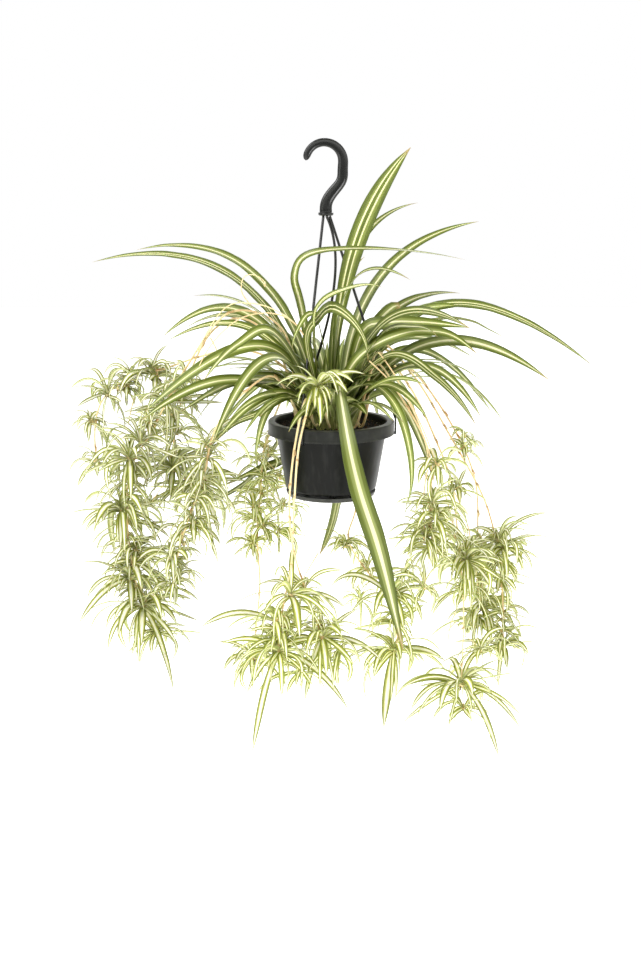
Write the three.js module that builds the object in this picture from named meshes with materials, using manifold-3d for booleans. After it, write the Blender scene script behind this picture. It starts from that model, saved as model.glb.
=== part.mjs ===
// A spider plant in a hanging nursery pot. The mother plant grows in the pot, and its runners hang
// over the rim with young plants on them. Millimetres, +Z up, +X to the right, +Y to the back.
// The origin is where the inside of the hook bears on what it hangs from, above the pot's axis.
import * as THREE from "three";
import { mergeVertices } from "three/addons/utils/BufferGeometryUtils.js";
import Module from "manifold-3d";

const wasm = await Module();
wasm.setup();

// ---- Driving sizes -----------------------------------------------------------------------------

const RIM_RADIUS = 85; // a 17 cm pot
const RIM_TOP = -358; // the rim's height, below the hook's bearing point
const POT_DEPTH = 92;
const RIM_SKIRT = 17; // how far the turned-down rim reaches
const POT_SIDES = 28;
const CLEARANCE = 0.3; // between pieces that touch

const POT_BASE = RIM_TOP - POT_DEPTH;
const POT_FLOOR = POT_BASE + 3.6; // the upper side of the pot's floor
const SAUCER_BASE = POT_BASE - 10.5; // the saucer clips on with an air gap above its edge

const SOIL_TOP = RIM_TOP - 8;
const CROWN_RADIUS = 35;
const CROWN_TOP = SOIL_TOP + 16;
const CROWN_HOLE = 14; // depth of the crown's hole in the soil

const PEG_RADIUS = 3;
const PEG_CIRCLE = 38; // radius on which the saucer's pegs and the drain holes stand
const DRAIN_RADIUS = PEG_RADIUS + 0.4;
const SAUCER_RADIUS = 61;

const COLLAR = new THREE.Vector3(-7.3, 0, -82);
const COLLAR_RADIUS = 10;
const COLLAR_HEIGHT = 4.5;
const STRAND_WIDTH = 3;

const RUNNER_RADIUS = 1.4;
const BUD_RADIUS = 5.5; // the stub at the middle of each young plant

const LEAF_THICKNESS = 1.4;
const LEAF_FOLD = 0.3; // how far a leaf's edges stand up, as a share of half its width
const YOUNG_KEEL = 1; // how far the underside of a young leaf hangs below its middle

const degrees = THREE.MathUtils.degToRad;

// ---- Materials ---------------------------------------------------------------------------------

const finish = (color, roughness) => new THREE.MeshStandardMaterial({ color, roughness, metalness: 0 });
const BLACK_PLASTIC = finish("#2b2c2e", 0.5);
const COMPOST = finish("#1d1813", 0.95);
const MOTHER_LEAF = finish("#6f8a3c", 0.5);
const YOUNG_LEAF = finish("#93a94e", 0.5);
const RUNNER_STRAW = finish("#d9b684", 0.6);

// ---- Solids ------------------------------------------------------------------------------------

// A closed geometry as a solid that can be joined and cut.
function solid(geometry) {
  const bare = geometry.clone();
  bare.deleteAttribute("normal");
  bare.deleteAttribute("uv");
  const { attributes, index } = mergeVertices(bare, 1e-3);
  return new wasm.Manifold(
    new wasm.Mesh({
      numProp: 3,
      vertProperties: attributes.position.array,
      triVerts: new Uint32Array(index.array),
    }),
  );
}

// Joined solids as one body: a pocket that the join seals is filled, and a loose scrap is dropped.
function join(solids) {
  const whole = solids.reduce((sum, next) => sum.add(next));
  return whole.decompose().reduce((most, body) => (body.volume() > most.volume() ? body : most));
}

const plant = new THREE.Group();

function place(name, shape, material) {
  const { vertProperties, triVerts } = shape.getMesh();
  const geometry = new THREE.BufferGeometry()
    .setAttribute("position", new THREE.BufferAttribute(vertProperties, 3))
    .setIndex(new THREE.BufferAttribute(triVerts, 1));
  geometry.computeVertexNormals();
  const mesh = new THREE.Mesh(geometry, material);
  mesh.name = name;
  plant.add(mesh);
}

// A shape turned about the vertical axis, from a profile of [radius, height] points.
function turned(profile, sides) {
  const points = profile.map(([radius, height]) => new THREE.Vector2(radius, height));
  return solid(new THREE.LatheGeometry(points, sides).rotateX(Math.PI / 2));
}

function post(radius, height, x, y, z, sides = 10) {
  const cylinder = new THREE.CylinderGeometry(radius, radius, height, sides);
  return solid(cylinder.rotateX(Math.PI / 2).translate(x, y, z));
}

// Rings of points skinned into one closed solid. A first or last ring of one point is a tip. The
// quads to the left and right of a leaf's middle are split alike on its upper and lower face.
function skinned(rings) {
  const starts = rings.map((_, i) => rings.slice(0, i).flat().length);
  const index = [];
  const fan = (start, ring, flip) => {
    for (let k = 1; k < ring.length - 1; k++)
      index.push(start, start + k + flip, start + k + 1 - flip);
  };
  fan(starts[0], rings[0], 1);
  rings.slice(1).forEach((ring, i) => {
    const sides = Math.max(ring.length, rings[i].length);
    const [here, next] = [starts[i], starts[i + 1]];
    for (let k = 0; k < sides; k++) {
      const side = (k + 1) % sides;
      if (ring.length === 1) index.push(here + k, here + side, next);
      else if (rings[i].length === 1) index.push(here, next + side, next + k);
      else if (k % 2) index.push(here + k, here + side, next + side, here + k, next + side, next + k);
      else index.push(here + k, here + side, next + k, here + side, next + side, next + k);
    }
  });
  fan(starts.at(-1), rings.at(-1), 0);
  const positions = rings.flat().flatMap((point) => [point.x, point.y, point.z]);
  const geometry = new THREE.BufferGeometry()
    .setAttribute("position", new THREE.Float32BufferAttribute(positions, 3))
    .setIndex(index);
  return solid(geometry);
}

// ---- Lines through chosen points ---------------------------------------------------------------

// The plant was drawn from one viewpoint. A point chosen by eye is given as [x, z, depth]: where it
// is seen on the upright plane through the pot's axis, and how far behind that plane it really is.
const EYE = new THREE.Vector3(-14, -1992, 0.5);

function seen([x, z, depth]) {
  const share = (depth - EYE.y) / -EYE.y;
  return new THREE.Vector3(EYE.x + (x - EYE.x) * share, depth, EYE.z + (z - EYE.z) * share);
}

// A smooth line through a few points. Past each end it is taken to go on bending as it did, so a
// line through three points is a plain arch.
class Midrib extends THREE.Curve {
  constructor(points) {
    super();
    const beyond = (a, b, c) => a.clone().sub(b).multiplyScalar(3).add(c);
    const last = points.length - 1;
    this.knots = [
      beyond(points[0], points[1], points[2]),
      ...points,
      beyond(points[last], points[last - 1], points[last - 2]),
    ];
  }

  getPoint(t, target = new THREE.Vector3()) {
    const spans = this.knots.length - 3;
    const span = Math.min(Math.floor(t * spans), spans - 1);
    const u = t * spans - span;
    const [a, b, c, d] = this.knots.slice(span, span + 4);
    const blend = (p, q, r, s) =>
      q + 0.5 * u * (r - p + u * (2 * p - 5 * q + 4 * r - s + u * (3 * (q - r) + s - p)));
    return target.set(blend(a.x, b.x, c.x, d.x), blend(a.y, b.y, c.y, d.y), blend(a.z, b.z, c.z, d.z));
  }
}

// Points at even distances along a line, from its start to its end.
function evenly(line, count) {
  const fine = Array.from({ length: 49 }, (_, i) => line.getPoint(i / 48));
  const reached = [0];
  for (let i = 1; i < fine.length; i++) reached.push(reached[i - 1] + fine[i].distanceTo(fine[i - 1]));
  const points = [];
  let i = 0;
  for (let k = 0; k <= count; k++) {
    const goal = (reached.at(-1) * k) / count;
    while (i < fine.length - 2 && reached[i + 1] < goal) i++;
    points.push(fine[i].clone().lerp(fine[i + 1], (goal - reached[i]) / (reached[i + 1] - reached[i])));
  }
  return points;
}

// The straight stretches between points, each cut into parts.
function chords(points, parts) {
  const cut = (point, i) =>
    Array.from({ length: parts }, (_, k) => point.clone().lerp(points[i + 1], k / parts));
  return [...points.slice(0, -1).flatMap(cut), points.at(-1)];
}

// A seeded random draw, the same in every build.
function dice(seed) {
  let state = seed >>> 0;
  return (low, high) => {
    state = (state + 0x6d2b79f5) >>> 0;
    let t = Math.imul(state ^ (state >>> 15), state | 1);
    t ^= t + Math.imul(t ^ (t >>> 7), t | 61);
    return low + ((high - low) * ((t ^ (t >>> 14)) >>> 0)) / 4294967296;
  };
}

// ---- Room between pieces -----------------------------------------------------------------------

// Every stem and leaf is also a row of balls. A leaf that comes too near to the balls of another
// piece is drawn again, so no piece runs through another.
const CELL = 16;
const SPARE = 0.8;
const cells = new Map();

function claim(owner, balls) {
  for (const ball of balls) {
    const key = [ball.at.x, ball.at.y, ball.at.z].map((v) => Math.floor(v / CELL)).join();
    if (!cells.has(key)) cells.set(key, []);
    cells.get(key).push({ owner, ...ball });
  }
}

function inPot({ at, r }) {
  const beside = Math.hypot(at.x, at.y) < RIM_RADIUS + 4 + r;
  return beside && at.z < RIM_TOP + r + 1 && at.z > RIM_TOP - POT_DEPTH - 12 - r;
}

function hasRoom(owner, balls) {
  return balls.every((ball) => {
    if (inPot(ball)) return false;
    const [i, j, k] = [ball.at.x, ball.at.y, ball.at.z].map((v) => Math.floor(v / CELL));
    for (let x = i - 1; x <= i + 1; x++)
      for (let y = j - 1; y <= j + 1; y++)
        for (let z = k - 1; z <= k + 1; z++)
          for (const other of cells.get([x, y, z].join()) ?? [])
            if (other.owner !== owner && other.at.distanceTo(ball.at) < other.r + ball.r + SPARE)
              return false;
    return true;
  });
}

const ballsAlong = (points, r) => points.map((at) => ({ at, r }));

// ---- Leaves ------------------------------------------------------------------------------------

// The share of its full width that a leaf has along its length.
const OUTLINE = [[0, 0.45], [0.2, 0.8], [0.4, 1], [0.7, 0.85], [0.9, 0.45], [1, 0]];

function outlineAt(t) {
  const k = Math.min(OUTLINE.findIndex(([end]) => end > t), OUTLINE.length - 1);
  const [after, high] = OUTLINE[k < 0 ? OUTLINE.length - 1 : k];
  const [before, low] = OUTLINE[k < 0 ? OUTLINE.length - 2 : k - 1];
  return low + ((high - low) * (t - before)) / (after - before);
}

// The stations of a leaf: its middle, the half-width vector to one edge and the way its face looks.
// across is level and at right angles to the way the leaf leans, and roll turns the face about it.
function stations({ line, width, roll, across }, steps) {
  const middle = evenly(line, steps);
  return middle.map((at, i) => {
    const along = middle[Math.min(i + 1, steps)].clone().sub(middle[Math.max(i - 1, 0)]).normalize();
    const flat = across.clone().addScaledVector(along, -across.dot(along)).normalize();
    const face = flat.clone().cross(along);
    const edge = flat.clone().multiplyScalar(Math.cos(roll)).addScaledVector(face, -Math.sin(roll));
    const up = face.multiplyScalar(Math.cos(roll)).addScaledVector(flat, Math.sin(roll));
    return { at, up, edge: edge.multiplyScalar((outlineAt(i / steps) * width) / 2) };
  });
}

// A leaf as a solid: a shallow channel on the mother plant, and on a young plant a three-sided
// sliver that also narrows to its root.
function leafSolid(leaf, steps, channelled) {
  const rings = stations(leaf, steps).map(({ at, up, edge }, i) => {
    if (i === steps || (i === 0 && !channelled)) return [at];
    const lift = edge.length() * LEAF_FOLD;
    const left = at.clone().add(edge).addScaledVector(up, lift);
    const right = at.clone().sub(edge).addScaledVector(up, lift);
    if (!channelled) return [left, at.clone().addScaledVector(up, -YOUNG_KEEL), right];
    const bottom = at.clone().addScaledVector(up, -LEAF_THICKNESS / 2);
    return [left, bottom, right, at.clone().addScaledVector(up, LEAF_THICKNESS / 2)];
  });
  return skinned(rings);
}

// A leaf as balls, one row on a narrow leaf and three on a wide one, clear of its root.
const BALL_STEP = 4;
const ROOT_FREE = 4.5;
const NARROW = 4; // half the width of the widest leaf that one row of balls covers

function leafBalls(leaf, steps) {
  const rings = stations(leaf, steps);
  const balls = [];
  for (let i = 0; i < steps; i++) {
    const [a, b] = [rings[i], rings[i + 1]];
    const parts = Math.ceil(a.at.distanceTo(b.at) / BALL_STEP);
    for (let k = 0; k < parts; k++) {
      const at = a.at.clone().lerp(b.at, k / parts);
      if (at.distanceTo(rings[0].at) < ROOT_FREE) continue;
      const edge = a.edge.clone().lerp(b.edge, k / parts);
      const half = edge.length();
      const rows = half < NARROW ? [0] : [-0.66, 0, 0.66];
      const r = half / rows.length + LEAF_THICKNESS / 2;
      for (const row of rows) balls.push({ at: at.clone().addScaledVector(edge, row), r });
    }
  }
  return balls;
}

// The way a leaf is turned: level, and across the way from its root to its tip.
function acrossOf(points) {
  const lean = points.at(-1).clone().sub(points[0]).setZ(0);
  return lean.cross(new THREE.Vector3(0, 0, 1)).normalize();
}

// A leaf that leaves its root at one slope, bends evenly and ends at another.
function bending(root, heading, rise, fall, length) {
  const step = (slope) =>
    new THREE.Vector3(
      Math.cos(slope) * Math.cos(heading),
      Math.cos(slope) * Math.sin(heading),
      Math.sin(slope),
    ).multiplyScalar(length / 2);
  const middle = root.clone().add(step(rise - (rise + fall) * 0.25));
  const tip = middle.clone().add(step(rise - (rise + fall) * 0.75));
  return [root, middle, tip];
}

// ---- The pot, its saucer and the soil ----------------------------------------------------------

const DRAINS = Array.from({ length: 6 }, (_, i) => degrees(60 * i + 30));
const around = (angle, radius) => [radius * Math.cos(angle), radius * Math.sin(angle)];

// The profiles are [radius, height] points. The pot's, from the middle of its underside: up the
// outside of the wall, round the turned-down rim, and down the inside.
function makePot() {
  const outside = [
    [0, POT_BASE], [60, POT_BASE], [61.5, POT_BASE + 2], [63.2, POT_BASE + 12], [75.8, RIM_TOP - 6],
  ];
  const rim = [
    [77, RIM_TOP - 2.2], [83.4, RIM_TOP - 2.2], [84.2, RIM_TOP - RIM_SKIRT], [85.6, RIM_TOP - RIM_SKIRT],
    [RIM_RADIUS, RIM_TOP - 1.2], [84, RIM_TOP], [76, RIM_TOP], [74.6, RIM_TOP - 2],
  ];
  const inside = [[74, SOIL_TOP], [60.5, POT_BASE + 8], [58, POT_FLOOR], [0, POT_FLOOR]];
  let pot = turned([...outside, ...rim, ...inside], POT_SIDES);
  for (const angle of DRAINS) {
    const hole = post(DRAIN_RADIUS, 8, ...around(angle, PEG_CIRCLE), POT_BASE + 2);
    pot = pot.subtract(hole);
  }
  place("pot", pot, BLACK_PLASTIC);
}

// Three pegs of the saucer stand in every other drain hole.
function makeSaucer() {
  const under = [[0, SAUCER_BASE], [54, SAUCER_BASE], [59, SAUCER_BASE + 1.5]];
  const edge = [[SAUCER_RADIUS, SAUCER_BASE + 6.7], [SAUCER_RADIUS - 1.4, SAUCER_BASE + 6.9]];
  const dish = [[57.6, SAUCER_BASE + 2.9], [53.6, SAUCER_BASE + 1.5], [0, SAUCER_BASE + 1.5]];
  const foot = SAUCER_BASE + 0.5;
  const pegs = DRAINS.filter((_, i) => i % 2 === 0).map((angle) =>
    post(PEG_RADIUS, POT_FLOOR - foot, ...around(angle, PEG_CIRCLE), (POT_FLOOR + foot) / 2),
  );
  place("saucer", join([turned([...under, ...edge, ...dish], POT_SIDES), ...pegs]), BLACK_PLASTIC);
}

// The compost fills the pot, with a plain hole for the crown.
function makeSoil() {
  const gap = 0.5; // a little over the clearance, because the pot and the soil are many-sided
  const floor = POT_FLOOR + CLEARANCE;
  const side = [[0, floor], [58 - gap, floor], [60.5 - gap, POT_BASE + 8], [73.9 - gap, SOIL_TOP]];
  const hole = CROWN_RADIUS + 1;
  const holeFloor = SOIL_TOP - CROWN_HOLE;
  const heap = [...side, [hole, SOIL_TOP + 1], [hole, holeFloor], [0, holeFloor]];
  place("soil", turned(heap, POT_SIDES), COMPOST);
}

// ---- The hook, its collar and the three strands ------------------------------------------------

// The hook's centre line: a round arch that opens a little, then a neck that leans back over the
// collar. The points are [x, z].
const ARCH = { x: -10, z: -16.7, tip: 23.5, crown: 25.8, from: 178, to: -20, points: 12 };
const NECK = [[14, -41], [1, -57], [-6.6, -69], [COLLAR.x, COLLAR.z]];

function hookLine() {
  const arch = Array.from({ length: ARCH.points }, (_, i) => {
    const share = i / (ARCH.points - 1);
    const turn = degrees(THREE.MathUtils.lerp(ARCH.from, ARCH.to, share));
    const radius = THREE.MathUtils.lerp(ARCH.tip, ARCH.crown, share);
    return [ARCH.x + radius * Math.cos(turn), ARCH.z + radius * Math.sin(turn)];
  });
  return new Midrib([...arch, ...NECK].map(([x, z]) => new THREE.Vector3(x, 0, z)));
}

// The section has a bead along each edge and a thinner web between them.
function hookSection(width) {
  const [edge, bead, web] = [width / 2, width / 2 - 2.4, width / 2 - 3.2];
  const quarter = [[edge, 3.2], [bead, 4], [web, 2.8]];
  const top = [...quarter, ...quarter.map(([u, v]) => [-u, v]).reverse()];
  return [...top, ...top.map(([u, v]) => [-u, -v])];
}

const HOOK = { steps: 20, tipWidth: 8.7, fullWidth: 12.4, fullFrom: 0.625, tipShare: 0.55 };

function makeHook() {
  const line = hookLine();
  const rings = Array.from({ length: HOOK.steps + 1 }, (_, i) => {
    const share = i / HOOK.steps;
    const at = line.getPointAt(share);
    const along = line.getTangentAt(share);
    const across = new THREE.Vector3(along.z, 0, -along.x);
    const widening = Math.min(share / HOOK.fullFrom, 1);
    const width = THREE.MathUtils.lerp(HOOK.tipWidth, HOOK.fullWidth, widening);
    const round = i === 0 ? HOOK.tipShare : 1; // the tip is rounded off
    return hookSection(width).map(([u, v]) =>
      at.clone().addScaledVector(across, u * round).add(new THREE.Vector3(0, v * round, 0)),
    );
  });
  const collar = post(COLLAR_RADIUS, COLLAR_HEIGHT, COLLAR.x, 0, COLLAR.z - COLLAR_HEIGHT / 2, 20);
  place("hook", join([skinned(rings), collar]), BLACK_PLASTIC);
  claim("hook", ballsAlong(evenly(line, 60), 7));
}

// Each strand leaves the collar at x and reaches the rim at an angle. bow is a point that it passes
// where leaves push it aside.
const STRANDS = [
  { name: "strand_left", x: -10.5, angle: 242 },
  { name: "strand_back", x: -6.4, angle: 122, bow: [2, -190, 26] },
  { name: "strand_right", x: -2.2, angle: 2 },
];
const TAB = { width: 9, thickness: 2, inner: RIM_RADIUS + 1, foot: 3.6, above: 5 };

// A tab lies on the outside of the rim, and its foot reaches under the rim's skirt.
function strandTab(turn) {
  const drop = RIM_SKIRT + 2 + CLEARANCE;
  const tall = drop + TAB.above;
  const outer = TAB.inner + TAB.thickness;
  const deep = TAB.foot + TAB.thickness;
  const tab = new THREE.BoxGeometry(TAB.thickness, TAB.width, tall);
  tab.translate(outer - TAB.thickness / 2, 0, RIM_TOP + TAB.above - tall / 2);
  const foot = new THREE.BoxGeometry(deep, TAB.width, 2);
  foot.translate(outer - deep / 2, 0, RIM_TOP - drop + 1);
  return join([solid(tab.rotateZ(turn)), solid(foot.rotateZ(turn))]);
}

function makeStrand({ name, x, angle, bow }) {
  const turn = degrees(angle);
  const start = new THREE.Vector3(x, 0, COLLAR.z - COLLAR_HEIGHT - 2 * CLEARANCE);
  const end = new THREE.Vector3(...around(turn, TAB.inner + TAB.thickness / 2), RIM_TOP + 2);
  const middle = bow ? seen(bow) : start.clone().lerp(end, 0.5);
  const line = new Midrib([start, middle, end]);
  const corners = Array.from({ length: 6 }, (_, i) => around(degrees(60 * i), STRAND_WIDTH / 2));
  const section = new THREE.Shape(corners.map(([u, v]) => new THREE.Vector2(u, v)));
  const steps = bow ? 12 : 6;
  const cord = new THREE.ExtrudeGeometry(section, { steps, bevelEnabled: false, extrudePath: line });
  place(name, join([solid(cord), strandTab(turn)]), BLACK_PLASTIC);
  claim(name, ballsAlong(evenly(line, 70), STRAND_WIDTH / 2));
}

// ---- The runners -------------------------------------------------------------------------------

// root is the side of the crown that a runner comes from, in degrees about the pot's axis. The rest
// are points chosen by eye, as [x, z, depth].
const RUNNERS = {
  a: {
    root: 196,
    through: [
      [-62, -240, -14], [-134, -213, -35], [-196, -290, -50], [-243, -375, -55],
      [-272, -425, -52], [-279, -490, -50], [-273, -560, -48], [-262, -615, -45],
    ],
  },
  b: {
    root: 168,
    through: [
      [-70, -262, 22], [-115, -222, 35], [-160, -240, 42], [-195, -310, 45],
      [-212, -385, 45], [-208, -425, 42], [-190, -445, 40],
    ],
  },
  c: {
    root: 215,
    through: [
      [-75, -300, -55], [-118, -322, -85], [-157, -372, -100], [-171, -427, -100],
      [-190, -483, -95], [-207, -532, -90], [-216, -585, -85],
    ],
  },
  d: {
    root: 182,
    through: [
      [-60, -290, 2], [-120, -262, 4], [-175, -272, 8], [-228, -290, 15],
      [-275, -303, 20], [-312, -340, 20], [-318, -410, 15],
    ],
  },
  e: {
    root: 265,
    through: [
      [-20, -318, -78], [-42, -386, -120], [-50, -469, -122], [-54, -554, -115],
      [-62, -600, -110], [-70, -645, -105], [-72, -680, -102],
    ],
  },
  f: {
    root: 240,
    through: [
      [-34, -330, -72], [-50, -400, -98], [-57, -483, -98], [-50, -545, -96],
      [-34, -600, -93], [-14, -660, -90],
    ],
  },
  g: {
    root: 130,
    through: [
      [-55, -312, 66], [-88, -390, 108], [-97, -469, 115], [-101, -525, 112],
      [-98, -588, 105], [-104, -650, 100], [-109, -690, 98],
    ],
  },
  h: {
    root: 66,
    through: [
      [30, -302, 78], [42, -400, 118], [34, -480, 120], [24, -525, 118],
      [50, -570, 112], [82, -610, 105], [92, -655, 100], [89, -680, 98],
    ],
  },
  i: {
    root: 318,
    through: [
      [59, -283, -42], [92, -324, -62], [127, -386, -72], [137, -430, -72],
      [134, -469, -70], [137, -505, -68], [139, -533, -66],
    ],
  },
  j: {
    root: 343,
    through: [
      [60, -268, -20], [105, -312, -26], [148, -400, -26], [165, -450, -22],
      [172, -500, -22], [179, -560, -22], [184, -620, -22], [184, -690, -22],
      [183, -728, -22],
    ],
  },
  k: {
    root: 8,
    through: [
      [62, -255, 15], [112, -300, 35], [161, -380, 50], [203, -455, 52],
      [220, -500, 52], [230, -545, 50], [238, -610, 50], [240, -672, 50],
    ],
  },
  l: {
    root: 40,
    through: [
      [55, -262, 52], [110, -292, 80], [163, -365, 96], [196, -441, 98],
      [202, -525, 92], [208, -600, 85], [200, -640, 80], [182, -652, 76],
    ],
  },
};

function runnerLine({ root, through }) {
  const turn = degrees(root);
  const leaving = (radius, height) => new THREE.Vector3(...around(turn, radius), SOIL_TOP + height);
  const start = CROWN_RADIUS + CLEARANCE + 0.4;
  return new Midrib([leaving(start, 8), leaving(start + 12, 12), ...through.map(seen)]);
}

const runnerLines = {};

// A runner is a thin four-sided tube that isn't twisted along its way. Its line is kept for the young
// plants, as short chords.
function makeRunner(name, runner) {
  const steps = 2 * runner.through.length + 2;
  const middle = evenly(runnerLine(runner), steps);
  let side = new THREE.Vector3(0, 0, RUNNER_RADIUS);
  const rings = middle.map((at, i) => {
    const along = middle[Math.min(i + 1, steps)].clone().sub(middle[Math.max(i - 1, 0)]).normalize();
    side = side.clone().addScaledVector(along, -side.dot(along)).setLength(RUNNER_RADIUS);
    const up = side.clone().cross(along);
    return [at.clone().add(side), at.clone().sub(up), at.clone().sub(side), at.clone().add(up)];
  });
  place("runner_" + name, skinned(rings), RUNNER_STRAW);
  runnerLines[name] = chords(middle, 8);
  claim("runner_" + name, ballsAlong(runnerLines[name], RUNNER_RADIUS + CLEARANCE));
}

// ---- The young plants --------------------------------------------------------------------------

// Each young plant sits against its runner at the point nearest to where it was seen, [x, z], or
// at the runner's end. reach is the length of its leaves. long holds the tips of its longest
// leaves, as [x, z, depth, width].
const YOUNG = [
  { on: "a", near: [-262, -350], leaves: 7, reach: 35 },
  { on: "a", near: [-292, -405], leaves: 11, reach: 68 },
  { on: "a", near: [-294, -484], leaves: 11, reach: 73 },
  { on: "a", near: [-250, -537], leaves: 9, reach: 42 },
  {
    on: "a", near: [-290, -580], leaves: 11, reach: 65,
    long: [[-352, -560, -60, 6], [-350, -645, -70, 6]],
  },
  { on: "a", end: true, leaves: 11, reach: 78, long: [[-220, -749, -60, 8], [-190, -612, -20, 6]] },
  { on: "b", near: [-220, -350], leaves: 8, reach: 50 },
  { on: "b", near: [-230, -430], leaves: 12, reach: 73 },
  { on: "b", end: true, leaves: 12, reach: 73, long: [[-160, -548, 30, 6]] },
  { on: "c", near: [-180, -506], leaves: 8, reach: 52, long: [[-150, -535, -100, 6]] },
  { on: "c", near: [-220, -548], leaves: 7, reach: 47 },
  { on: "c", end: true, leaves: 7, reach: 42 },
  {
    on: "d", near: [-232, -306], leaves: 9, reach: 57,
    long: [[-258, -262, 10, 4], [-225, -330, 15, 6]],
  },
  { on: "d", near: [-275, -312], leaves: 7, reach: 33 },
  { on: "d", near: [-326, -361], leaves: 9, reach: 40 },
  { on: "d", end: true, leaves: 8, reach: 42, long: [[-345, -450, 10, 5]] },
  {
    on: "e", near: [-8, -297], leaves: 12, reach: 65,
    long: [[-60, -300, -110, 6], [45, -296, -100, 6]],
  },
  {
    on: "e", near: [-54, -606], leaves: 9, reach: 73,
    long: [[20, -622, -120, 6], [-128, -604, -110, 5]],
  },
  { on: "e", near: [-82, -640], leaves: 9, reach: 65, long: [[-180, -650, -105, 7]] },
  {
    on: "e", end: true, leaves: 12, reach: 73,
    long: [[-111, -837, -110, 7], [26, -774, -115, 7], [-118, -748, -100, 5]],
  },
  { on: "f", end: true, leaves: 11, reach: 73, long: [[72, -700, -95, 6], [-36, -758, -95, 6]] },
  { on: "g", near: [-112, -480], leaves: 7, reach: 50 },
  { on: "g", near: [-88, -505], leaves: 8, reach: 42 },
  { on: "g", near: [-112, -530], leaves: 7, reach: 40 },
  { on: "g", end: true, leaves: 9, reach: 54 },
  { on: "h", near: [14, -532], leaves: 8, reach: 42 },
  { on: "h", near: [87, -603], leaves: 11, reach: 71, long: [[15, -612, 100, 6], [152, -602, 90, 7]] },
  {
    on: "h", end: true, leaves: 11, reach: 71,
    long: [[75, -800, 95, 10], [160, -700, 80, 7], [18, -700, 90, 5]],
  },
  { on: "i", near: [150, -420], leaves: 9, reach: 50 },
  { on: "i", near: [150, -492], leaves: 11, reach: 53 },
  { on: "i", near: [120, -522], leaves: 9, reach: 47 },
  { on: "i", end: true, leaves: 9, reach: 50 },
  { on: "j", near: [176, -450], leaves: 8, reach: 40 },
  { on: "j", near: [186, -556], leaves: 12, reach: 65, long: [[225, -600, -20, 6]] },
  {
    on: "j", end: true, leaves: 12, reach: 78,
    long: [[239, -845, -30, 8], [102, -738, -40, 7], [268, -800, -15, 5]],
  },
  { on: "k", near: [186, -390], leaves: 7, reach: 38 },
  { on: "k", near: [240, -535], leaves: 12, reach: 61, long: [[285, -520, 40, 5]] },
  { on: "k", end: true, leaves: 9, reach: 59, long: [[235, -740, 50, 6]] },
  { on: "l", near: [218, -625], leaves: 12, reach: 68 },
];

// How far from a place chosen by eye a point is seen.
function missedBy(point, [x, z]) {
  const share = (point.y - EYE.y) / -EYE.y;
  return Math.hypot(EYE.x + (point.x - EYE.x) / share - x, EYE.z + (point.z - EYE.z) / share - z);
}

// Where a young plant's stub sits, at or past the end of its runner or beside it on the side where
// the plant was seen, and the way from the stub to the runner.
function seatOf({ on, near, end }) {
  const line = runnerLines[on];
  const apart = BUD_RADIUS + CLEARANCE + 0.1;
  if (end) {
    const ahead = line.at(-1).clone().sub(line.at(-2)).normalize();
    return { at: line.at(-1).clone().addScaledVector(ahead, apart), back: ahead.negate() };
  }
  let i = 4;
  for (let k = i; k < line.length - 3; k++) if (missedBy(line[k], near) < missedBy(line[i], near)) i = k;
  const along = line[i + 1].clone().sub(line[i - 1]).normalize();
  const out = seen([...near, line[i].y]).sub(line[i]);
  out.addScaledVector(along, -out.dot(along)).normalize();
  return { at: line[i].clone().addScaledVector(out, apart + RUNNER_RADIUS), back: out.clone().negate() };
}

// The stub has twenty faces, and one of its corners meets the runner.
function stubSolid({ at, back }) {
  const stub = new THREE.IcosahedronGeometry(BUD_RADIUS, 0);
  const corner = new THREE.Vector3().fromBufferAttribute(stub.attributes.position, 0).normalize();
  const turn = new THREE.Quaternion().setFromUnitVectors(corner, back);
  return solid(stub.applyQuaternion(turn).translate(...at));
}

const GOLDEN = degrees(137.5);
const TRIES = 60;
const SEED = { chosen: 5000, chosenLeaf: 331, fill: 9000, fillLeaf: 613, plant: 7919, youngLeaf: 257 };

// A long leaf arches from the stub to a tip chosen by eye.
function reaching(start, [x, z, depth, width], draw, attempt) {
  const drift = new THREE.Vector3(draw(-1, 1), draw(-1, 1), draw(-1, 1)).multiplyScalar(attempt * 1.5);
  const end = seen([x, z, depth]).add(drift);
  const arch = new THREE.Vector3(0, 0, end.distanceTo(start) * 0.16);
  const middle = start.clone().lerp(end, 0.5).add(arch).addScaledVector(drift, 0.5);
  return { points: [start, middle, end], width, roll: draw(-0.6, 0.6) };
}

// The other leaves stand round the stub at the golden angle, the lowest first, and all of them droop.
function drooping(start, number, { reach, leaves }, draw, attempt) {
  const looseness = 0.12 + attempt * 0.05;
  const heading = GOLDEN * number + draw(-looseness, looseness);
  const rise = degrees(-15 + (95 * (number + 0.5)) / leaves + draw(-6, 6));
  const length = reach * draw(0.75, 1.15) * (1 - attempt / (TRIES * 1.6));
  const points = bending(start, heading, rise, degrees(draw(40, 90)), length);
  return { points, width: draw(0.08, 0.11) * reach + 2, roll: draw(-0.5, 0.5) };
}

// One leaf of a young plant, drawn again until it has room, and a little shorter each time.
function youngLeaf(name, bud, number, young, index) {
  const tip = young.long?.[number];
  const start = bud.clone().add(new THREE.Vector3(0, 0, (5 * number) / young.leaves - 2.5));
  for (let attempt = 0; attempt < TRIES; attempt++) {
    const draw = dice(index * SEED.plant + number * SEED.youngLeaf + attempt);
    const { points, width, roll } = tip
      ? reaching(start, tip, draw, attempt)
      : drooping(start, number, young, draw, attempt);
    const leaf = { line: new Midrib(points), width, roll, across: acrossOf(points) };
    const length = leaf.line.getLength();
    const steps = 2 + (length > 45) + (length > 85);
    const balls = leafBalls(leaf, steps);
    if (!hasRoom(name, balls)) continue;
    claim(name, balls);
    return leafSolid(leaf, steps, false);
  }
  return null;
}

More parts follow.
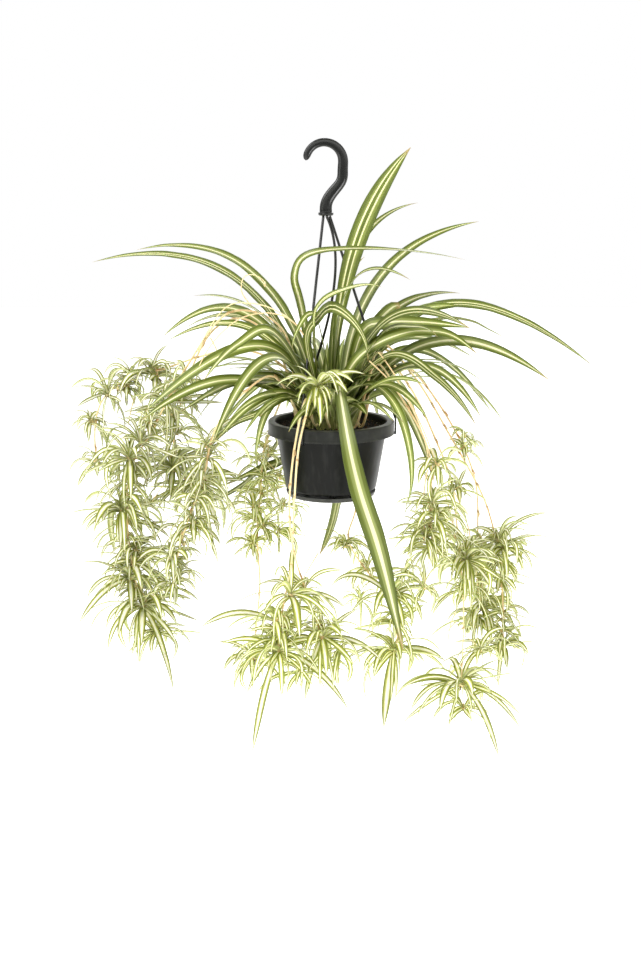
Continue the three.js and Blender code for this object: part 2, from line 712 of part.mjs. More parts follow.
function makeYoung(young, index) {
  const name = "young_" + (index + 1);
  const seat = seats[index];
  const leaves = [];
  for (let number = 0; number < young.leaves; number++)
    leaves.push(youngLeaf(name, seat.at, number, young, index));
  place(name, join([stubSolid(seat), ...leaves.filter(Boolean)]), YOUNG_LEAF);
}

// ---- The mother plant --------------------------------------------------------------------------

// The crown carries rings of leaves, [radius, how many], from the outermost in.
const RINGS = [[31, 22], [23, 17], [15, 12], [7, 5]];

// Leaves placed by eye. ring is the ring that a leaf stands in, roll is how far its face is turned to
// the viewer, in degrees, and the points end at its tip.
const MOTHER = [
  // to the left
  { ring: 2, width: 14, through: [[-100, -165, 10], [-256, -131, 25]] },
  { ring: 1, width: 13, through: [[-125, -170, -15], [-315, -147, -35]] },
  { ring: 1, width: 12, through: [[-80, -228, -35], [-182, -191, -70]] },
  { ring: 1, width: 12, through: [[-110, -215, 45], [-224, -247, 85]] },
  { ring: 1, width: 10, through: [[-100, -228, 75], [-200, -238, 150]] },
  { ring: 1, width: 11, through: [[-100, -238, 18], [-218, -251, 35]] },
  { ring: 0, width: 15, through: [[-95, -258, -40], [-251, -347, -85]] },
  { ring: 0, width: 12, through: [[-110, -277, -12], [-226, -325, -30]] },
  { ring: 0, width: 13, through: [[-80, -274, -100], [-161, -392, -170]] },
  { ring: 0, width: 13, through: [[-125, -312, -62], [-254, -368, -120]] },
  { ring: 0, width: 12, through: [[-105, -296, 62], [-190, -372, 115]] },
  { ring: 0, width: 12, through: [[-90, -331, -62], [-168, -392, -110]] },
  { ring: 0, width: 11, through: [[-105, -330, 28], [-190, -420, 45]] },
  { ring: 0, width: 10, through: [[-70, -330, -70], [-103, -415, -105]] },
  { ring: 0, width: 11, through: [[-60, -322, 40], [-118, -352, 70], [-180, -400, 105]] },
  {
    ring: 0, width: 11,
    through: [[-32, -306, 66], [-68, -375, 118], [-120, -442, 124], [-199, -476, 100]],
  },
  // upright
  { ring: 3, width: 22, roll: 75, through: [[26, -145, -32], [103, 1, -62]] },
  { ring: 2, width: 10, through: [[24, -150, 46], [113, -70, 90]] },
  { ring: 2, width: 12, through: [[60, -173, 40], [193, -94, 70]] },
  {
    ring: 2, width: 13,
    through: [[-38, -215, -18], [-48, -162, -42], [-22, -134, -58], [74, -130, -66], [177, -144, -80]],
  },
  { ring: 3, width: 9, through: [[22, -183, -50], [104, -170, -95]] },
  {
    ring: 2, width: 8,
    through: [[-36, -240, -66], [-26, -200, -74], [18, -180, -88], [52, -181, -98]],
  },
  // to the right
  { ring: 1, width: 12, through: [[80, -224, 70], [180, -190, 120]] },
  { ring: 1, width: 10, through: [[75, -238, -16], [169, -205, -30]] },
  { ring: 1, width: 14, through: [[42, -258, 95], [90, -207, 165]] },
  { ring: 1, width: 13, through: [[165, -222, 0], [372, -302, -20]] },
  { ring: 1, width: 14, through: [[145, -257, -45], [301, -308, -95]] },
  { ring: 1, width: 14, through: [[72, -226, -70], [183, -233, -135]] },
  { ring: 0, width: 13, through: [[85, -246, 28], [196, -269, 58]] },
  { ring: 0, width: 11, through: [[108, -262, 62], [217, -349, 115]] },
  { ring: 0, width: 11, through: [[104, -297, -78], [193, -369, -140]] },
  { ring: 0, width: 9, through: [[65, -303, 100], [125, -282, 190]] },
  { ring: 0, width: 9, through: [[66, -308, -105], [125, -310, -180]] },
  { ring: 0, width: 10, through: [[70, -310, -88], [131, -358, -150]] },
  {
    ring: 0, width: 11,
    through: [[45, -310, -55], [85, -336, -90], [108, -410, -102], [104, -476, -102]],
  },
  {
    ring: 0, width: 13,
    through: [[52, -306, -28], [96, -338, -48], [122, -388, -56], [140, -445, -60]],
  },
  // down the front and down the back
  {
    ring: 0, width: 21,
    through: [[10, -296, -62], [21, -372, -118], [38, -450, -138], [68, -545, -148], [101, -685, -155]],
  },
  {
    ring: 0, width: 14, roll: 5,
    through: [[12, -298, 74], [14, -385, 120], [8, -479, 122], [-16, -547, 116]],
  },
];

const LEAF_STEPS = 5;

// Takes the free place of a ring that lies nearest to the way a leaf leans.
function standIn(places, ring, heading) {
  const off = ({ angle }) => Math.abs(Math.atan2(Math.sin(angle - heading), Math.cos(angle - heading)));
  const free = places.filter((spot) => spot.ring === ring && !spot.taken);
  const open = free.length ? free : places.filter((spot) => !spot.taken);
  const best = open.reduce((a, b) => (off(b) < off(a) ? b : a));
  best.taken = true;
  return best.at;
}

function chosenLeaf(places, { ring, width, through, roll = 38 }, number) {
  const points = through.map(seen);
  const root = standIn(places, ring, Math.atan2(points[0].y, points[0].x));
  const face = Math.sign(points.at(-1).x - root.x);
  for (let attempt = 0; attempt < TRIES; attempt++) {
    const draw = dice(SEED.chosen + number * SEED.chosenLeaf + attempt);
    const drift = new THREE.Vector3(draw(-1, 1), draw(-1, 1), draw(-1, 1)).multiplyScalar(attempt * 1.2);
    const moved = points.map((p) => p.clone().add(drift));
    const all = [root, ...moved];
    const turn = face * degrees(roll + draw(-12, 12));
    const leaf = { line: new Midrib(all), width, roll: turn, across: acrossOf(all) };
    const balls = leafBalls(leaf, LEAF_STEPS);
    if (!hasRoom("crown", balls)) continue;
    claim("crown", balls);
    return leafSolid(leaf, LEAF_STEPS, true);
  }
  return null;
}

// The other leaves follow their ring: the outer ones lean and hang, the inner ones stand. Those at
// the front stay short, so that the pot shows.
const FILL = { length: [250, 235, 190, 150], rise: [52, 64, 74, 82], fall: [72, 45, 20, -10] };

function fillLeaf({ ring, angle, at }, number) {
  for (let attempt = 0; attempt < TRIES; attempt++) {
    const draw = dice(SEED.fill + number * SEED.fillLeaf + attempt);
    const heading = angle + draw(-0.3, 0.3);
    const front = Math.max(0, -Math.sin(heading));
    const full = FILL.length[ring] * draw(0.8, 1.15);
    const length = full * (1 - 0.5 * front) * (1 - attempt / (TRIES * 1.6));
    const rise = degrees(FILL.rise[ring] + draw(-8, 8));
    const fall = degrees(FILL.fall[ring] + draw(-15, 15) - 40 * front);
    const points = bending(at, heading, rise, fall, length);
    const width = draw(9, 14);
    const leaf = { line: new Midrib(points), width, roll: draw(-0.4, 0.4), across: acrossOf(points) };
    const balls = leafBalls(leaf, LEAF_STEPS);
    if (!hasRoom("crown", balls)) continue;
    claim("crown", balls);
    return leafSolid(leaf, LEAF_STEPS, true);
  }
  return null;
}

function makeCrown() {
  const places = RINGS.flatMap(([radius, count], ring) =>
    Array.from({ length: count }, (_, i) => {
      const angle = (2 * Math.PI * (i + ring / 3)) / count;
      return { ring, angle, at: new THREE.Vector3(...around(angle, radius), CROWN_TOP - 6) };
    }),
  );
  const stub = [
    [0, SOIL_TOP - CROWN_HOLE + CLEARANCE], [CROWN_RADIUS, SOIL_TOP - CROWN_HOLE + CLEARANCE],
    [CROWN_RADIUS, CROWN_TOP - 4], [CROWN_RADIUS - 3, CROWN_TOP], [0, CROWN_TOP + 4],
  ];
  const chosen = MOTHER.map((leaf, number) => chosenLeaf(places, leaf, number));
  const fill = places.filter((spot) => !spot.taken).map(fillLeaf);
  const leaves = [...chosen, ...fill].filter(Boolean);
  place("crown", join([turned(stub, 20), ...leaves]), MOTHER_LEAF);
}

// ---- Putting it together -----------------------------------------------------------------------

makePot();
makeSaucer();
makeSoil();
makeHook();
STRANDS.forEach(makeStrand);
Object.entries(RUNNERS).forEach(([name, runner]) => makeRunner(name, runner));

const seats = YOUNG.map(seatOf);
seats.forEach(({ at }, i) => claim("young_" + (i + 1), [{ at, r: BUD_RADIUS }]));
makeCrown();
YOUNG.forEach(makeYoung);

export default plant;
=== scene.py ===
# %% [markdown]
# # A spider plant in a hanging nursery pot
#
# The solid model holds every piece of this plant at its real size and place: the pot with its saucer
# and hanger, the runners, the mother plant and the young plants. Its leaves are plain slivers. This
# lesson grows the same leaves again by the same rule, so that they lie where the solid ones lie, and
# gives them the curve, the channel and the stripes of real ones. The pot and the hanger get the
# rounded edges and the satin skin of moulded plastic.
#
# Lengths are in millimetres, as in the solid model, and become metres when a mesh is made.

# %% Load the solid model
import math

import bpy
import bmesh
import numpy as np
from mathutils import Matrix, Vector, noise


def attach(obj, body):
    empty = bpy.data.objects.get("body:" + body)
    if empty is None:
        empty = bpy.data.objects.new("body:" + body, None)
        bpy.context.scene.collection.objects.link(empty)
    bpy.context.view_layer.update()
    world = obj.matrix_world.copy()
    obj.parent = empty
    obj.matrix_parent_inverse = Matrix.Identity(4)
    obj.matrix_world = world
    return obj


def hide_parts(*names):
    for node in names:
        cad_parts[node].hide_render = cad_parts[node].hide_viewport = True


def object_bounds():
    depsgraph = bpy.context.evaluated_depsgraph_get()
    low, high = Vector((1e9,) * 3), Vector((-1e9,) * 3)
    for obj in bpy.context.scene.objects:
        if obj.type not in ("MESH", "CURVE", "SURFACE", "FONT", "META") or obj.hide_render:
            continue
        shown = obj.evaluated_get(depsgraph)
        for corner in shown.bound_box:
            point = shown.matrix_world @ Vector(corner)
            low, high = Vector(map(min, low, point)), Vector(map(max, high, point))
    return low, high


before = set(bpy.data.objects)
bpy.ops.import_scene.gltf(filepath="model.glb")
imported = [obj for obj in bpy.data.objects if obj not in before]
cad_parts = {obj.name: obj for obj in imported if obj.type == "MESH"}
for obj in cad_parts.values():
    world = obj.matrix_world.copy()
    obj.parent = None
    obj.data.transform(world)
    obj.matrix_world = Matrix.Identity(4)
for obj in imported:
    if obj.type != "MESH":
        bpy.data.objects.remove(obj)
cad_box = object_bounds()
MM = 0.001
print(len(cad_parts), "solid pieces, from", cad_box[0], "to", cad_box[1])

# %% [markdown]
# ## Sizes
#
# These are the sizes that the pieces share. The origin is where the inside of the hook bears on
# what it hangs from, above the pot's axis, so nearly every height is below zero.

# %% Sizes
RIM_RADIUS = 85
RIM_TOP = -358
POT_DEPTH = 92
RIM_SKIRT = 17
POT_BASE = RIM_TOP - POT_DEPTH
POT_FLOOR = POT_BASE + 3.6
SAUCER_BASE = POT_BASE - 10.5
SAUCER_RADIUS = 61
SOIL_TOP = RIM_TOP - 8
CROWN_RADIUS = 35
CROWN_TOP = SOIL_TOP + 16
PEG_RADIUS = 3
PEG_CIRCLE = 38
DRAIN_RADIUS = PEG_RADIUS + 0.4
CLEARANCE = 0.3
RUNNER_RADIUS = 1.4
BUD_RADIUS = 5.5
LEAF_THICKNESS = 1.4
print("the pot is", 2 * RIM_RADIUS, "mm over its rim and", POT_DEPTH, "mm deep")

# %% [markdown]
# ## Colours and nodes
#
# A colour is chosen as the hex code that a screen shows, and Blender wants linear light, so one
# function turns the one into the other. A second one adds a node, sets it and links it, whatever
# kind of node it is, and hands back the node's output so that calls can be nested like a sentence.
# Another gives a pattern its scale from a real length in millimetres.


# %% A colour, and a node
def linear(code):
    parts = [int(code[i : i + 2], 16) / 255 for i in (1, 3, 5)]
    return (*(p / 12.92 if p <= 0.04045 else ((p + 0.055) / 1.055) ** 2.4 for p in parts), 1.0)


def add(tree, kind, inputs=None, stops=None, **settings):
    node = tree.nodes.new(kind)
    for name, value in settings.items():
        setattr(node, name, value)
    for key, value in (inputs or {}).items():
        usable = [socket for socket in node.inputs if socket.enabled]
        socket = usable[key] if isinstance(key, int) else next(s for s in usable if s.name == key)
        if isinstance(value, bpy.types.NodeSocket):
            tree.links.new(value, socket)
        else:
            socket.default_value = value
    for number, (place, code) in enumerate(stops or []):
        points = node.color_ramp.elements
        point = points[number] if number < 2 else points.new(place)
        point.position = place
        point.color = linear(code)
    return next((socket for socket in node.outputs if socket.enabled), node)


def new_material(name, sockets):
    made = bpy.data.materials.new(name)
    made.use_nodes = True
    tree = made.node_tree
    shader = tree.nodes["Principled BSDF"]
    for socket, value in sockets.items():
        shader.inputs[socket].default_value = value
    return made, tree, shader


def per(count, length):
    """The scale of a pattern that has so many patches in a length in mm."""
    return count / (length * MM)


print("mid green in linear light:", [round(part, 3) for part in linear("#6f8c3f")])

# %% [markdown]
# ## Moulded polypropylene
#
# Cheap nursery pots, saucers and hangers are injection moulded from black polypropylene. A paler
# colour is painted on it: dust with a painted sheen of the light from above, on faces that look up
# and on every side above a given height, which on the pot is its rim. A fine grain breaks up the
# gloss, and streaks of dust run down the sides.


# %% Black polypropylene
def make_plastic(name, base, dust_sheen_colour, roughness, dust_sheen_amount, gloss, grit, painted_sheen_above):
    """Paler streaks of dust, and dust with painted sheen on faces that look up and above a given height."""
    sockets = {"Roughness": roughness, "IOR": 1.49, "Specular IOR Level": gloss}
    made, tree, shader = new_material(name, sockets)
    place = add(tree, "ShaderNodeTexCoord").node.outputs["Object"]
    grain = add(tree, "ShaderNodeTexNoise", {"Vector": place, "Scale": per(26, 10), "Detail": 2.0})
    cloud = add(tree, "ShaderNodeTexNoise", {"Vector": place, "Scale": per(5.5, 100), "Detail": 5.0})
    tall = (per(18, 100), per(18, 100), per(2.7, 100))
    smear = add(tree, "ShaderNodeMapping", {"Vector": place, "Scale": tall})
    streak = add(tree, "ShaderNodeTexNoise", {"Vector": smear, "Scale": 1.0, "Detail": 6.0})
    # Faces that look up get more of the paler colour: dust and a painted sheen of the light from above.
    facing = add(tree, "ShaderNodeNewGeometry").node.outputs["Normal"]
    upward = add(tree, "ShaderNodeSeparateXYZ", {0: facing}).node.outputs["Z"]
    sky_facing = add(tree, "ShaderNodeMapRange", {"Value": upward, "From Min": 0.3, "From Max": 1.0})
    top_dust_and_sheen = add(tree, "ShaderNodeMath", {0: sky_facing, 1: cloud}, operation="MULTIPLY")
    rubbed = add(tree, "ShaderNodeMapRange", {"Value": streak, "From Min": 0.5, "From Max": 0.8})
    dust_and_sheen = add(tree, "ShaderNodeMath", {0: rubbed, 1: 0.12, 2: top_dust_and_sheen}, operation="MULTIPLY_ADD")
    # Every side above the given height gets more of it too, dust and painted sheen: on the pot its rim, on
    # the saucer every side.
    height = add(tree, "ShaderNodeSeparateXYZ", {0: place}).node.outputs["Z"]
    above_sheen_height = add(tree, "ShaderNodeMath", {0: height, 1: painted_sheen_above}, operation="GREATER_THAN")
    high_dust_and_sheen = add(tree, "ShaderNodeMath", {0: above_sheen_height, 1: cloud}, operation="MULTIPLY")
    dust_and_sheen = add(tree, "ShaderNodeMath", {0: high_dust_and_sheen, 1: 0.5, 2: dust_and_sheen}, operation="MULTIPLY_ADD")
    dust_sheen_share = add(tree, "ShaderNodeMath", {0: dust_and_sheen, 1: dust_sheen_amount}, operation="MULTIPLY")
    colour = add(
        tree, "ShaderNodeMix", {"Factor": dust_sheen_share, "A": linear(base), "B": linear(dust_sheen_colour)}, data_type="RGBA"
    )
    tree.links.new(colour, shader.inputs["Base Color"])
    rough = add(tree, "ShaderNodeMath", {0: cloud, 1: 0.22, 2: roughness - 0.1}, operation="MULTIPLY_ADD")
    tree.links.new(rough, shader.inputs["Roughness"])
    bump = add(tree, "ShaderNodeBump", {"Height": grain, "Strength": grit, "Distance": 0.0001})
    tree.links.new(bump, shader.inputs["Normal"])
    return made


# Above this height the pot's rim is painted paler, a painted sheen with dust.
RIM_FOOT = (RIM_TOP - RIM_SKIRT - 0.5) * MM
BELOW_ALL, ABOVE_ALL = -1.0, 9.0
# Each plastic's second colour is the paler tone of its dust and painted sheen.
POT_PLASTIC = make_plastic(
    "black_polypropylene_pot", "#0e0f0d", "#83857f",
    roughness=0.34, dust_sheen_amount=0.42, gloss=0.16, grit=0.2, painted_sheen_above=RIM_FOOT,
)
SAUCER_PLASTIC = make_plastic(
    "black_polypropylene_saucer", "#1b1c1a", "#8d8e88",
    roughness=0.38, dust_sheen_amount=0.5, gloss=0.3, grit=0.2, painted_sheen_above=BELOW_ALL,
)
HOOK_PLASTIC = make_plastic(
    "black_polypropylene_hanger", "#141513", "#5d5e5a",
    roughness=0.26, dust_sheen_amount=0.3, gloss=0.5, grit=0.04, painted_sheen_above=ABOVE_ALL,
)
print("plastics:", POT_PLASTIC.name, SAUCER_PLASTIC.name, HOOK_PLASTIC.name)

# %% [markdown]
# ## Peat compost
#
# Moist peat is nearly black brown and quite matte. Its crumbs are lighter where they have dried, and
# a few bits of bark and pale grit lie on top.


# %% Peat, bark and grit
def make_compost(name, stops, roughness):
    made, tree, shader = new_material(name, {"Roughness": roughness})
    place = add(tree, "ShaderNodeTexCoord").node.outputs["Object"]
    crumb = add(tree, "ShaderNodeTexNoise", {"Vector": place, "Scale": per(4.2, 10), "Detail": 8.0})
    colour = add(tree, "ShaderNodeValToRGB", {0: crumb}, stops=stops)
    tree.links.new(colour, shader.inputs["Base Color"])
    bump = add(tree, "ShaderNodeBump", {"Height": crumb, "Strength": 0.8, "Distance": 0.001})
    tree.links.new(bump, shader.inputs["Normal"])
    return made


PEAT = make_compost("peat_compost", [(0.3, "#0d0a08"), (0.55, "#1e1712"), (0.75, "#3b2d22")], 0.95)
BARK = make_compost("bark_bits", [(0.3, "#3a2718"), (0.6, "#6a4a30"), (0.8, "#8b6a4a")], 0.9)
GRIT = make_compost("pale_grit", [(0.3, "#9c958a"), (0.6, "#cfc9bd"), (0.8, "#e6e2d8")], 0.8)
print("composts:", PEAT.name, BARK.name, GRIT.name)

# %% [markdown]
# ## Leaf
#
# A spider plant's leaf is a thin strap with parallel veins. Down its middle runs a cream stripe with
# no green in it, a pale green band lies on each side, and the margins are dark. On some leaves the
# stripe is twin, with green between. The stripes follow the leaf, so the material reads attributes
# that every leaf is grown with: how far a point lies across it, from -1 to 1, how far along it, from
# 0 to 1, how far towards its upper face, and the leaf's own tint and kind of stripe. Noise that is
# stretched along the leaf frays the edges of the stripes, as on the real one. Leaf skin is a satin
# wax over a wet tissue, so it has a soft gloss, and light that enters it comes out nearby.


# %% Striped leaf
HALF_LEAF = 5.4  # half the width of a usual leaf, in mm, which the attribute across counts as 1
VEIN, FRAY = 0.4, 1.5  # the width of a vein and of a fray, in mm
LANE = 1.5  # how wide half a leaf is in the noise
APART = 91.0  # how far apart in the noise the palest and the darkest leaf lie


def make_leaf(name, stops, twin_stops, bloom, pale, tip, roughness, fraying, lightest):
    """bloom is the colour of the underside, pale of the foot and tip of the dry end."""
    sockets = {"Roughness": roughness, "IOR": 1.42, "Subsurface Weight": 0.1, "Subsurface Scale": 0.001}
    made, tree, shader = new_material(name, sockets)
    across, along, tint, twin, upper = (
        add(tree, "ShaderNodeAttribute", attribute_name=label).node.outputs["Fac"]
        for label in ("across", "along", "tint", "twin", "upper")
    )
    away = add(tree, "ShaderNodeMath", {0: tint, 1: APART}, operation="MULTIPLY")
    side = add(tree, "ShaderNodeMath", {0: across, 1: LANE, 2: away}, operation="MULTIPLY_ADD")
    lane = add(tree, "ShaderNodeCombineXYZ", {"X": side, "Y": along, "Z": away})
    frays, ribs = HALF_LEAF / (LANE * FRAY), HALF_LEAF / (LANE * VEIN)
    fray = add(tree, "ShaderNodeTexNoise", {"Vector": lane, "Scale": frays, "Detail": 4.0})
    veins = add(tree, "ShaderNodeTexNoise", {"Vector": lane, "Scale": ribs, "Detail": 3.0})
    half = add(tree, "ShaderNodeMath", {0: across}, operation="ABSOLUTE")
    shift = add(tree, "ShaderNodeMath", {0: fray, 1: fraying, 2: -0.5 * fraying}, operation="MULTIPLY_ADD")
    frayed = add(tree, "ShaderNodeMath", {0: half, 1: shift}, operation="ADD")
    spread = add(tree, "ShaderNodeMath", {0: tint, 1: 0.14, 2: -0.07}, operation="MULTIPLY_ADD")
    lane_place = add(tree, "ShaderNodeMath", {0: frayed, 1: spread}, operation="ADD")
    one = add(tree, "ShaderNodeValToRGB", {0: lane_place}, stops=stops)
    two = add(tree, "ShaderNodeValToRGB", {0: lane_place}, stops=twin_stops)
    striped = add(tree, "ShaderNodeMix", {"Factor": twin, "A": one, "B": two}, data_type="RGBA")
    under = add(
        tree, "ShaderNodeMapRange", {"Value": upper, "From Min": 0.1, "From Max": -0.1, "To Max": 0.4}
    )
    faded = add(tree, "ShaderNodeMix", {"Factor": under, "A": striped, "B": linear(bloom)}, data_type="RGBA")
    lighter = add(tree, "ShaderNodeMapRange", {"Value": tint, "To Min": 0.78, "To Max": lightest})
    ribbed = add(
        tree, "ShaderNodeMapRange",
        {"Value": veins, "From Min": 0.3, "From Max": 0.7, "To Min": 0.74, "To Max": 1.18},
    )
    shade = add(tree, "ShaderNodeMath", {0: lighter, 1: ribbed}, operation="MULTIPLY")
    toned = add(tree, "ShaderNodeVectorMath", {0: faded, "Scale": shade}, operation="SCALE")
    base = add(
        tree, "ShaderNodeMapRange", {"Value": along, "From Min": 0.12, "From Max": 0.02, "To Max": 0.7}
    )
    rooted = add(tree, "ShaderNodeMix", {"Factor": base, "A": toned, "B": linear(pale)}, data_type="RGBA")
    late = add(tree, "ShaderNodeMath", {0: tint, 1: 0.06, 2: 0.93}, operation="MULTIPLY_ADD")
    dry = add(tree, "ShaderNodeMapRange", {"Value": along, "From Min": late, "From Max": 1.0})
    tipped = add(tree, "ShaderNodeMix", {"Factor": dry, "A": rooted, "B": linear(tip)}, data_type="RGBA")
    tree.links.new(tipped, shader.inputs["Base Color"])
    shader.inputs["Subsurface Radius"].default_value = (0.6, 1.0, 0.25)
    bump = add(tree, "ShaderNodeBump", {"Height": veins, "Strength": 0.35, "Distance": 0.0003})
    tree.links.new(bump, shader.inputs["Normal"])
    return made


MOTHER_LEAF = make_leaf(
    "living_leaf_mother",
    [(0.0, "#fffbd0"), (0.1, "#f8f4b8"), (0.14, "#a3ad60"), (0.45, "#8a954a"), (0.55, "#687522"),
     (0.95, "#5a681b"), (1.0, "#a9b370")],
    [(0.0, "#637220"), (0.15, "#727f2c"), (0.19, "#f8f5b8"), (0.32, "#faf6c0"), (0.36, "#929c50"),
     (0.6, "#647120"), (1.0, "#546216")],
    bloom="#a3ac72", pale="#adae6a", tip="#a98a5a", roughness=0.4, fraying=0.3, lightest=1.26,
)
YOUNG_LEAF = make_leaf(
    "living_leaf_young",
    [(0.0, "#fffff0"), (0.3, "#fefbda"), (0.36, "#dbd992"), (0.5, "#a7ac4c"), (0.84, "#6d7519"),
     (1.0, "#9aa158")],
    [(0.0, "#a9ae54"), (0.1, "#d0ce84"), (0.16, "#fffcdc"), (0.46, "#fcf8ce"), (0.54, "#a7ac50"),
     (1.0, "#6f761d")],
    bloom="#d8dea2", pale="#f4eec8", tip="#b99a62", roughness=0.42, fraying=0.55, lightest=1.36,
)
print("leaves:", MOTHER_LEAF.name, YOUNG_LEAF.name)

# %% [markdown]
# ## Runner
#
# A runner is a tough round stem, straw yellow with a blush of pink where the sun has reached it. At
# every joint it is brown and a little swollen, and carries a dry, papery bract.


# %% Runner stem and dry bract
def make_stem(name, straw, blush, joint, roughness):
    sockets = {"Roughness": roughness, "IOR": 1.42, "Subsurface Weight": 0.08, "Subsurface Scale": 0.003}
    made, tree, shader = new_material(name, sockets)
    place = add(tree, "ShaderNodeTexCoord").node.outputs["Object"]
    patch = add(tree, "ShaderNodeTexNoise", {"Vector": place, "Scale": per(1.4, 100), "Detail": 3.0})
    fine = add(tree, "ShaderNodeTexNoise", {"Vector": place, "Scale": per(5, 10), "Detail": 3.0})
    rosy = add(tree, "ShaderNodeMapRange", {"Value": patch, "From Min": 0.38, "From Max": 0.64})
    stem = add(
        tree, "ShaderNodeMix", {"Factor": rosy, "A": linear(straw), "B": linear(blush)}, data_type="RGBA"
    )
    knot = add(tree, "ShaderNodeAttribute", attribute_name="knot").node.outputs["Fac"]
    browned = add(tree, "ShaderNodeMath", {0: knot, 1: fine}, operation="MULTIPLY")
    brown = add(tree, "ShaderNodeMapRange", {"Value": browned, "From Min": 0.15, "From Max": 0.5})
    colour = add(tree, "ShaderNodeMix", {"Factor": brown, "A": stem, "B": linear(joint)}, data_type="RGBA")
    tree.links.new(colour, shader.inputs["Base Color"])
    bump = add(tree, "ShaderNodeBump", {"Height": fine, "Strength": 0.3, "Distance": 0.0002})
    tree.links.new(bump, shader.inputs["Normal"])
    return made


STEM = make_stem("living_stem_straw", "#f6e4ae", "#f0d09c", "#b08a58", 0.5)
BRACT = make_stem("dry_bract", "#d9bd88", "#c9a06a", "#94693f", 0.75)
ROOT = make_stem("dry_root_tip", "#a87c4e", "#8f6440", "#5e3d22", 0.8)
print("stems:", STEM.name, BRACT.name, ROOT.name)

# %% [markdown]
# ## Blades and stems by Geometry Nodes
#
# A plant is thin things on curved lines, hundreds of times over. Both trees below take a mesh of bare
# lines whose points carry attributes, turn each line into a curve and sweep a section along it.
#
# The blade tree sweeps a flat lens with a crease in the middle. Each point says how wide the leaf is
# there and which way its face looks, so one tree makes every leaf, and a little noise waves the
# margins. The stem tree sweeps a plain ring.


# %% Making and running a tree
def new_tree(name, sockets):
    tree = bpy.data.node_groups.new(name, "GeometryNodeTree")
    tree.interface.new_socket("Geometry", in_out="INPUT", socket_type="NodeSocketGeometry")
    for label, kind in sockets.items():
        tree.interface.new_socket(label, in_out="INPUT", socket_type="NodeSocket" + kind)
    tree.interface.new_socket("Geometry", in_out="OUTPUT", socket_type="NodeSocketGeometry")
    return tree, tree.nodes.new("NodeGroupInput").outputs


def end_tree(tree, geometry, finish):
    real = add(tree, "GeometryNodeRealizeInstances", {"Geometry": geometry})
    coated = add(tree, "GeometryNodeSetMaterial", {"Geometry": real, "Material": finish})
    add(tree, "NodeGroupOutput", {"Geometry": coated})


def placed(name, data):
    """An object for a mesh, a lamp or a camera."""
    made = bpy.data.objects.new(name, data)
    bpy.context.scene.collection.objects.link(made)
    return made


def grown(name, mesh, tree, **values):
    """The mesh that the tree makes from a mesh, as an object of its own with no modifier left."""
    source = placed("source", mesh)
    modifier = source.modifiers.new("tree", "NODES")
    modifier.node_group = tree
    for socket in tree.interface.items_tree:
        if socket.in_out == "INPUT" and socket.name in values:
            modifier[socket.identifier] = values[socket.name]
    graph = bpy.context.evaluated_depsgraph_get()
    made = bpy.data.meshes.new_from_object(
        source.evaluated_get(graph), preserve_all_data_layers=True, depsgraph=graph
    )
    bpy.data.objects.remove(source)
    made.name = name
    return placed(name, made)


print("a tree's inputs are set by their identifiers")

# %% The blade tree
BLADE, given = new_tree(
    "blade", {"Sides": "Int", "Crease": "Float", "Thickness": "Float", "Wave": "Float", "Finish": "Material"}
)
ring = add(BLADE, "GeometryNodeCurvePrimitiveCircle", {"Resolution": given["Sides"], "Radius": 1.0})
corner = add(BLADE, "ShaderNodeSeparateXYZ", {0: add(BLADE, "GeometryNodeInputPosition")}).node.outputs
back = add(BLADE, "ShaderNodeMath", {0: corner["X"], 1: -1.0}, operation="MULTIPLY")
outward = add(BLADE, "ShaderNodeMath", {0: corner["X"]}, operation="ABSOLUTE")
thin = add(BLADE, "ShaderNodeMath", {0: corner["Y"], 1: given["Thickness"]}, operation="MULTIPLY")
lift = add(BLADE, "ShaderNodeMath", {0: outward, 1: given["Crease"], 2: thin}, operation="MULTIPLY_ADD")
for label, value in (("across", corner["X"]), ("upper", corner["Y"])):
    ring = add(
        BLADE, "GeometryNodeStoreNamedAttribute", {"Geometry": ring, "Name": label, "Value": value},
        data_type="FLOAT", domain="POINT",
    )
spot = add(BLADE, "ShaderNodeCombineXYZ", {"X": lift, "Y": back})
section = add(BLADE, "GeometryNodeSetPosition", {"Geometry": ring, "Position": spot})
facing, half, across = (
    add(BLADE, "GeometryNodeInputNamedAttribute", {"Name": label}, data_type=kind)
    for label, kind in (("up", "FLOAT_VECTOR"), ("half", "FLOAT"), ("across", "FLOAT"))
)
line = add(BLADE, "GeometryNodeMeshToCurve", {"Mesh": given["Geometry"]})
faced = add(BLADE, "GeometryNodeSetCurveNormal", {"Curve": line, "Normal": facing}, mode="FREE")
swept = add(
    BLADE, "GeometryNodeCurveToMesh",
    {"Curve": faced, "Profile Curve": section, "Scale": half, "Fill Caps": True},
)
ripple = add(
    BLADE, "ShaderNodeTexNoise",
    {"Vector": add(BLADE, "GeometryNodeInputPosition"), "Scale": per(2.6, 100), "Detail": 1.0},
)
sway = add(BLADE, "ShaderNodeMath", {0: ripple, 1: -0.5}, operation="ADD")
rim_only = add(BLADE, "ShaderNodeMath", {0: across, 1: across}, operation="MULTIPLY")
far = add(BLADE, "ShaderNodeMath", {0: sway, 1: rim_only}, operation="MULTIPLY")
wide = add(BLADE, "ShaderNodeMath", {0: half, 1: given["Wave"]}, operation="MULTIPLY")
amount = add(BLADE, "ShaderNodeMath", {0: far, 1: wide}, operation="MULTIPLY")
offset = add(BLADE, "ShaderNodeVectorMath", {0: facing, "Scale": amount}, operation="SCALE")
waved = add(BLADE, "GeometryNodeSetPosition", {"Geometry": swept, "Offset": offset})
end_tree(BLADE, add(BLADE, "GeometryNodeSetShadeSmooth", {"Geometry": waved}), given["Finish"])
print("the blade tree has", len(BLADE.nodes), "nodes")

